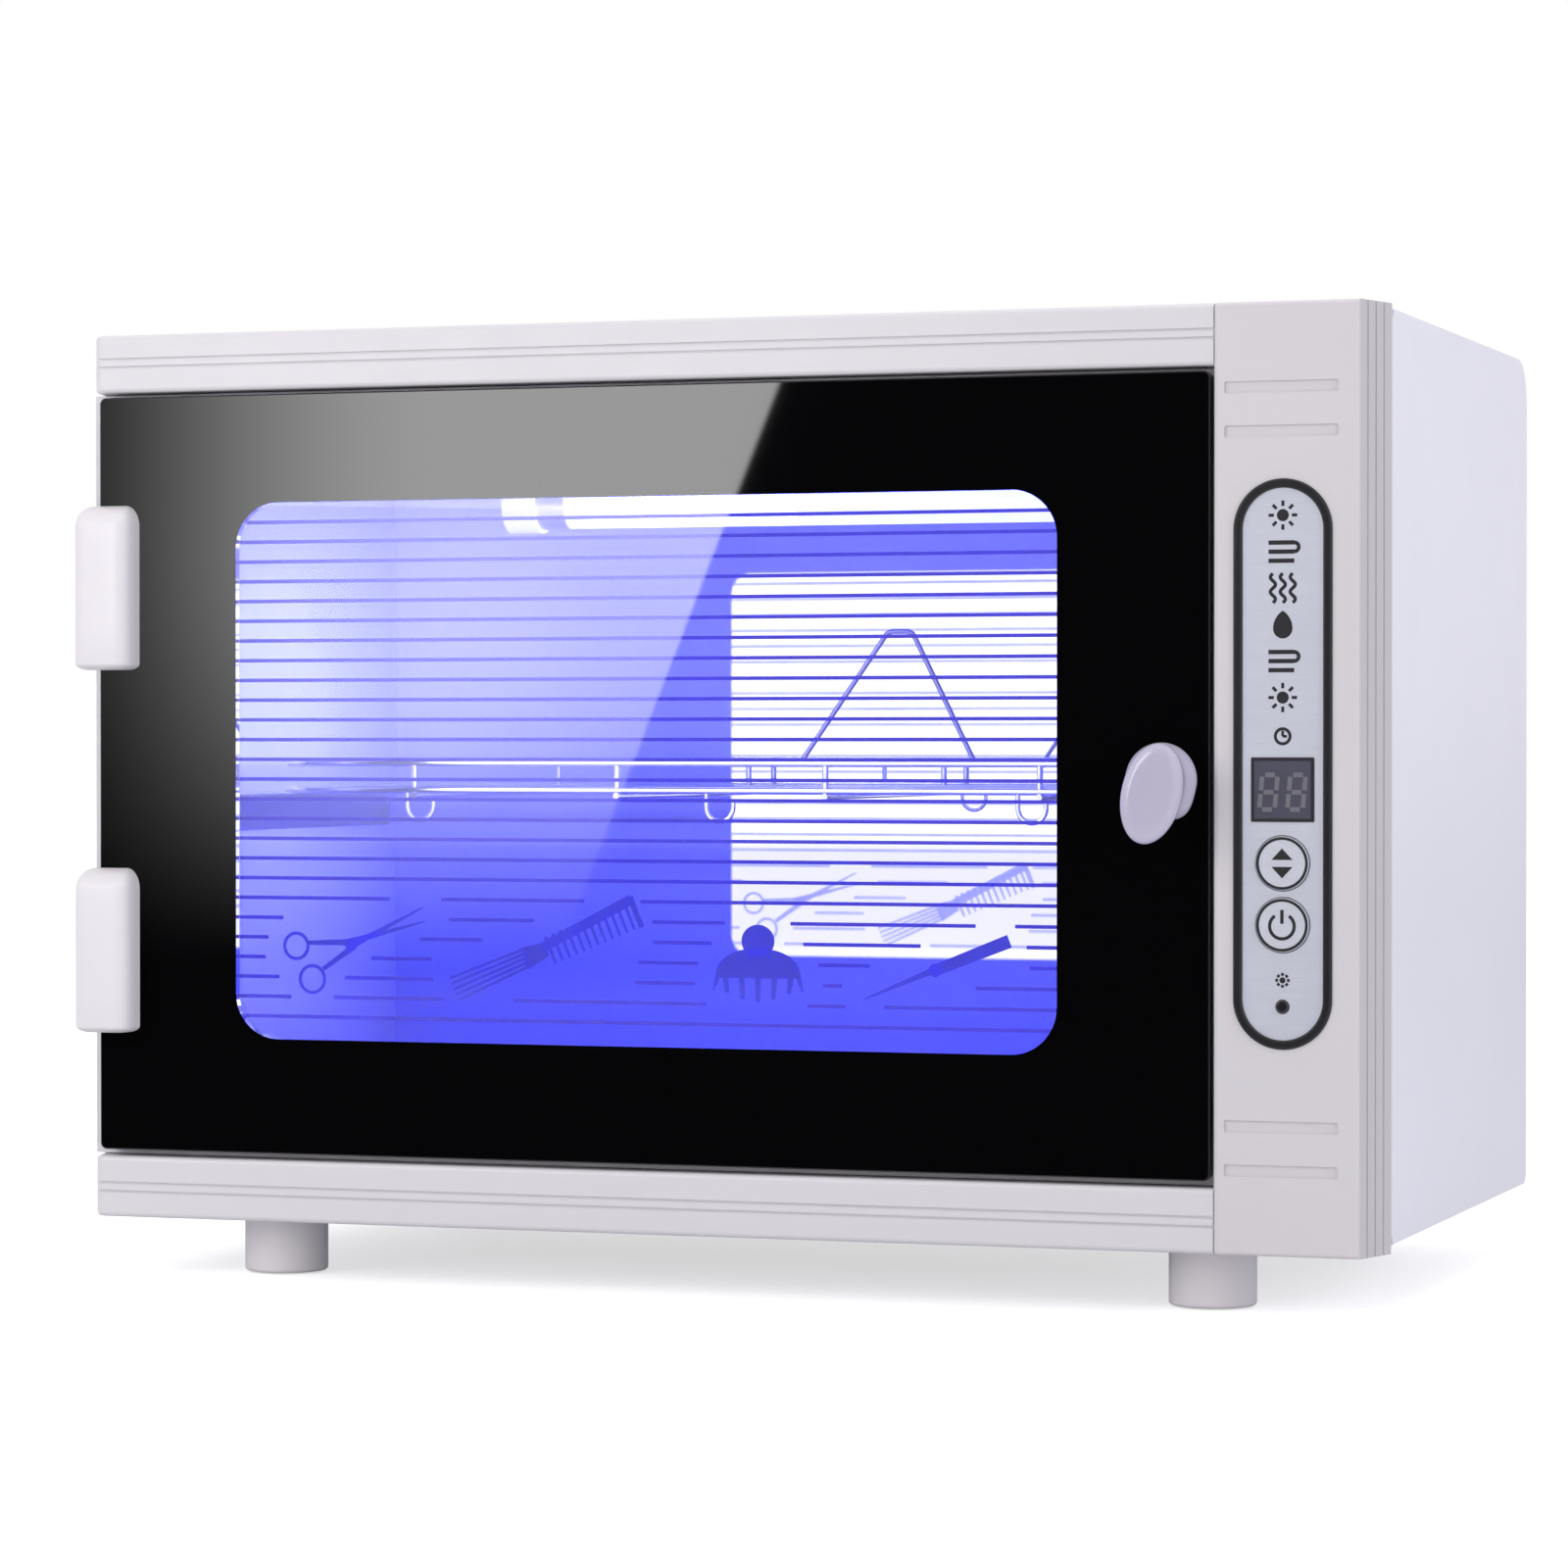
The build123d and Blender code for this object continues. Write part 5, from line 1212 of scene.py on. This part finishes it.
@dataclass
class Studio:
    """Camera, floor, surroundings, lamps and the cards that the door glass reflects."""

    lens: float = 113.0
    camera_place: tuple[float, float, float] = (0.4996, -1.4882, 0.16545)
    turn: float = 18.917
    dip: float = 0.48
    room: float = 0.5
    mirrored_room: float = 0.9
    beyond_glass: float = 1.5
    card_glow: float = 7.8
    card_reach: float = 1.59
    mat_grazing: float = 0.87

    def camera(self) -> None:
        """Sets the camera at the photograph's viewing angle."""
        data = bpy.data.cameras.new("view")
        data.lens = self.lens
        data.sensor_width = 36.0
        camera = bpy.data.objects.new("view", data)
        camera.location = self.camera_place
        camera.rotation_euler = Euler((math.radians(90.0 - self.dip), 0.0, math.radians(self.turn)))
        bpy.context.scene.collection.objects.link(camera)
        bpy.context.scene.camera = camera

    def surroundings(self) -> None:
        """Makes the world: white where it is seen, mirrored or seen through glass, softer as light."""
        board = NodeBoard("white_room", is_world=True)
        mirrored = board.reckon("MULTIPLY", board.ray("Is Glossy Ray"), self.mirrored_room)
        unscattered = board.reckon("LESS_THAN", board.ray("Diffuse Depth"), 0.5)
        beyond = board.reckon("MULTIPLY", unscattered, self.beyond_glass)
        through = board.reckon("MULTIPLY", board.ray("Is Transmission Ray"), beyond)
        strength = board.reckon("MAXIMUM", board.ray("Is Camera Ray"), self.room)
        for part in (mirrored, through):
            strength = board.reckon("MAXIMUM", strength, part)
        bpy.context.scene.world = board.finish(board.add("Background", Color=WHITE, Strength=strength))

    def sheet(self, name: str, x: Pair, y: Pair, height: float) -> Piece:
        """Lays a level sheet, in metres, between the ends of its sides, facing down where both rise."""
        across, along = np.meshgrid(np.array(x), np.array(y), indexing="ij")
        return grid(np.stack((across, along, np.full_like(across, height)), axis=-1)).to_object(name)

    def floor(self) -> None:
        """Lays the pale floor, which stays white to the eye and takes the cabinet's shadow."""
        piece = self.sheet("floor", (-6.0, 0.0, 6.0), (9.0, 1.5, -6.0), -0.0005)
        board = NodeBoard("white_floor")
        paint = board.blend(board.spread(board.noise(1.5), 0.0, 1.0), (0.8, 0.8, 0.81), (0.82, 0.82, 0.82))
        seen = board.reckon("MAXIMUM", board.ray("Is Camera Ray"), board.ray("Is Transmission Ray"))
        lift = board.add("Emission", Color=WHITE, Strength=board.spread(seen, 0.0, 0.6, 0.0, 1.0))
        both = board.add("AddShader")
        board.feed(both.inputs[0], board.add("BsdfPrincipled", Base_Color=paint, Roughness=0.8))
        board.feed(both.inputs[1], lift)
        piece.data.materials.append(board.finish(both))

    def lamp(self, name: str, spot: Sequence[float], aim: Sequence[float], size: Pair, power: float,
             colour: Colour = WHITE) -> bpy.types.Object:
        """Hangs a soft box that shows in no reflection.

        Args:
            name: Its name.
            spot: Where it hangs, in metres.
            aim: The point that it faces.
            size: Its width and height.
            power: Its power in watts.
            colour: Its colour.

        Returns:
            The lamp.
        """
        data = bpy.data.lights.new(name, "AREA")
        data.shape = "RECTANGLE"
        data.size, data.size_y = size
        data.energy = power
        data.color = colour
        lamp = bpy.data.objects.new(name, data)
        lamp.location = spot
        way = np.array(aim) - np.array(spot)
        flat = math.hypot(way[0], way[1])
        turn = math.atan2(way[1], way[0]) - math.pi / 2 if flat else 0.0
        lamp.rotation_euler = Euler((math.atan2(flat, -way[2]), 0.0, turn))
        lamp.visible_glossy = False
        bpy.context.scene.collection.objects.link(lamp)
        return lamp

    def lights(self) -> None:
        """Hangs the soft boxes, and in the chamber the lamp's glow and a wash on the wall."""
        self.lamp("left_box", (-1.1, -1.5, 0.8), (0.0, 0.0, 0.13), (1.2, 1.0), 13.0)
        self.lamp("right_box", (1.9, -0.6, 0.7), (0.1, 0.0, 0.15), (1.2, 1.2), 12.8, (0.95, 0.95, 1.0))
        self.lamp("top_box", (0.1, 0.0, 1.6), (0.0, 0.0, 0.2), (1.2, 1.2), 8.0)
        glow = self.lamp("chamber_glow", place(200.0, 105.0, 213.0), place(200.0, 105.0, 100.0), (0.26, 0.03),
                         0.55, VIOLET)
        wash = self.lamp("wall_wash", place(200.0, 95.0, 190.0), place(8.0, 112.0, 160.0), (0.1, 0.09), 0.31,
                         (0.8, 0.82, 1.0))
        wash.data.spread = math.radians(66.0)
        for lamp in (glow, wash):
            lamp.visible_camera = False
            lamp.visible_transmission = False

    def mirrored_only(self, piece: Piece, board: NodeBoard, inside: Socket, first: Node,
                      second: Node) -> None:
        """Dresses a staged piece in a mix of two shaders, seen by nothing but mirrored rays.

        Args:
            piece: The piece.
            board: The board of its material.
            inside: The factor between both shaders.
            first: The shader where the factor is 0.
            second: The shader where the factor is 1.
        """
        piece.data.materials.append(board.finish(board.mix(inside, first, second)))
        piece.visible_camera = False
        piece.visible_diffuse = False
        piece.visible_transmission = False
        piece.visible_shadow = False
        piece.visible_volume_scatter = False

    def reflected_card(self) -> None:
        """Stands up the dark card that the door glass mirrors, with its one pale slanted panel.

        Rays longer than its reach pass it, so the chamber's back sheet, which is further away
        than the door, mirrors the bright room.
        """
        x, z = np.meshgrid(np.array([-1150.0, 340.0]), np.array([-260.0, 620.0]), indexing="ij")
        piece = grid(place(x, -1380.2, z)).to_object("reflected_card")
        board = NodeBoard("card_fade")
        x_side, z_side = board.along("X"), board.along("Z")
        across = board.spread(x_side, 0.05, 1.0, -0.93, -0.66, "SMOOTHSTEP")
        lower = board.spread(z_side, 0.0, 1.0, 0.025, 0.295, "SMOOTHSTEP")
        slope = board.reckon("MULTIPLY_ADD", z_side, -0.412, x_side)
        edge = board.spread(slope, self.card_glow, 0.0, -0.6068, -0.6038)
        level = board.reckon("MULTIPLY", board.reckon("MULTIPLY", across, lower), edge)
        glow = board.add("Emission", Color=WHITE, Strength=level)
        far = board.reckon("GREATER_THAN", board.ray("Ray Length"), self.card_reach)
        self.mirrored_only(piece, board, far, glow, board.add("BsdfTransparent"))

    def reflected_mat(self) -> None:
        """Lays the dark mat that the lower border mirrors, there only for rays that graze it."""
        piece = self.sheet("reflected_mat", (-1.2, 0.15), (-1.49, -0.3), 0.0006)
        board = NodeBoard("mat_felt")
        weave = board.blend(board.noise(8.0), (0.001, 0.001, 0.001), (0.002, 0.002, 0.002))
        felt = board.add("BsdfDiffuse", Color=weave, Roughness=1.0)
        grazed = board.reckon("GREATER_THAN", board.add("LayerWeight").outputs["Facing"], self.mat_grazing)
        self.mirrored_only(piece, board, grazed, board.add("BsdfTransparent"), felt)

    def build(self) -> None:
        """Sets up the whole studio."""
        self.camera()
        self.surroundings()
        self.floor()
        self.lights()
        self.reflected_card()
        self.reflected_mat()
        bpy.context.scene.view_settings.view_transform = "Standard"


def main() -> None:
    """Builds the studio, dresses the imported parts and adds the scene's own pieces."""
    logging.basicConfig(level=logging.INFO, format="%(name)s %(message)s")
    Studio().build()
    dress_packed()
    for part in (DoorPrint(), HingeCaps(), Knob(), ControlPanel(), ScrewRecesses()):
        part.build()


if __name__ == "__main__":
    main()
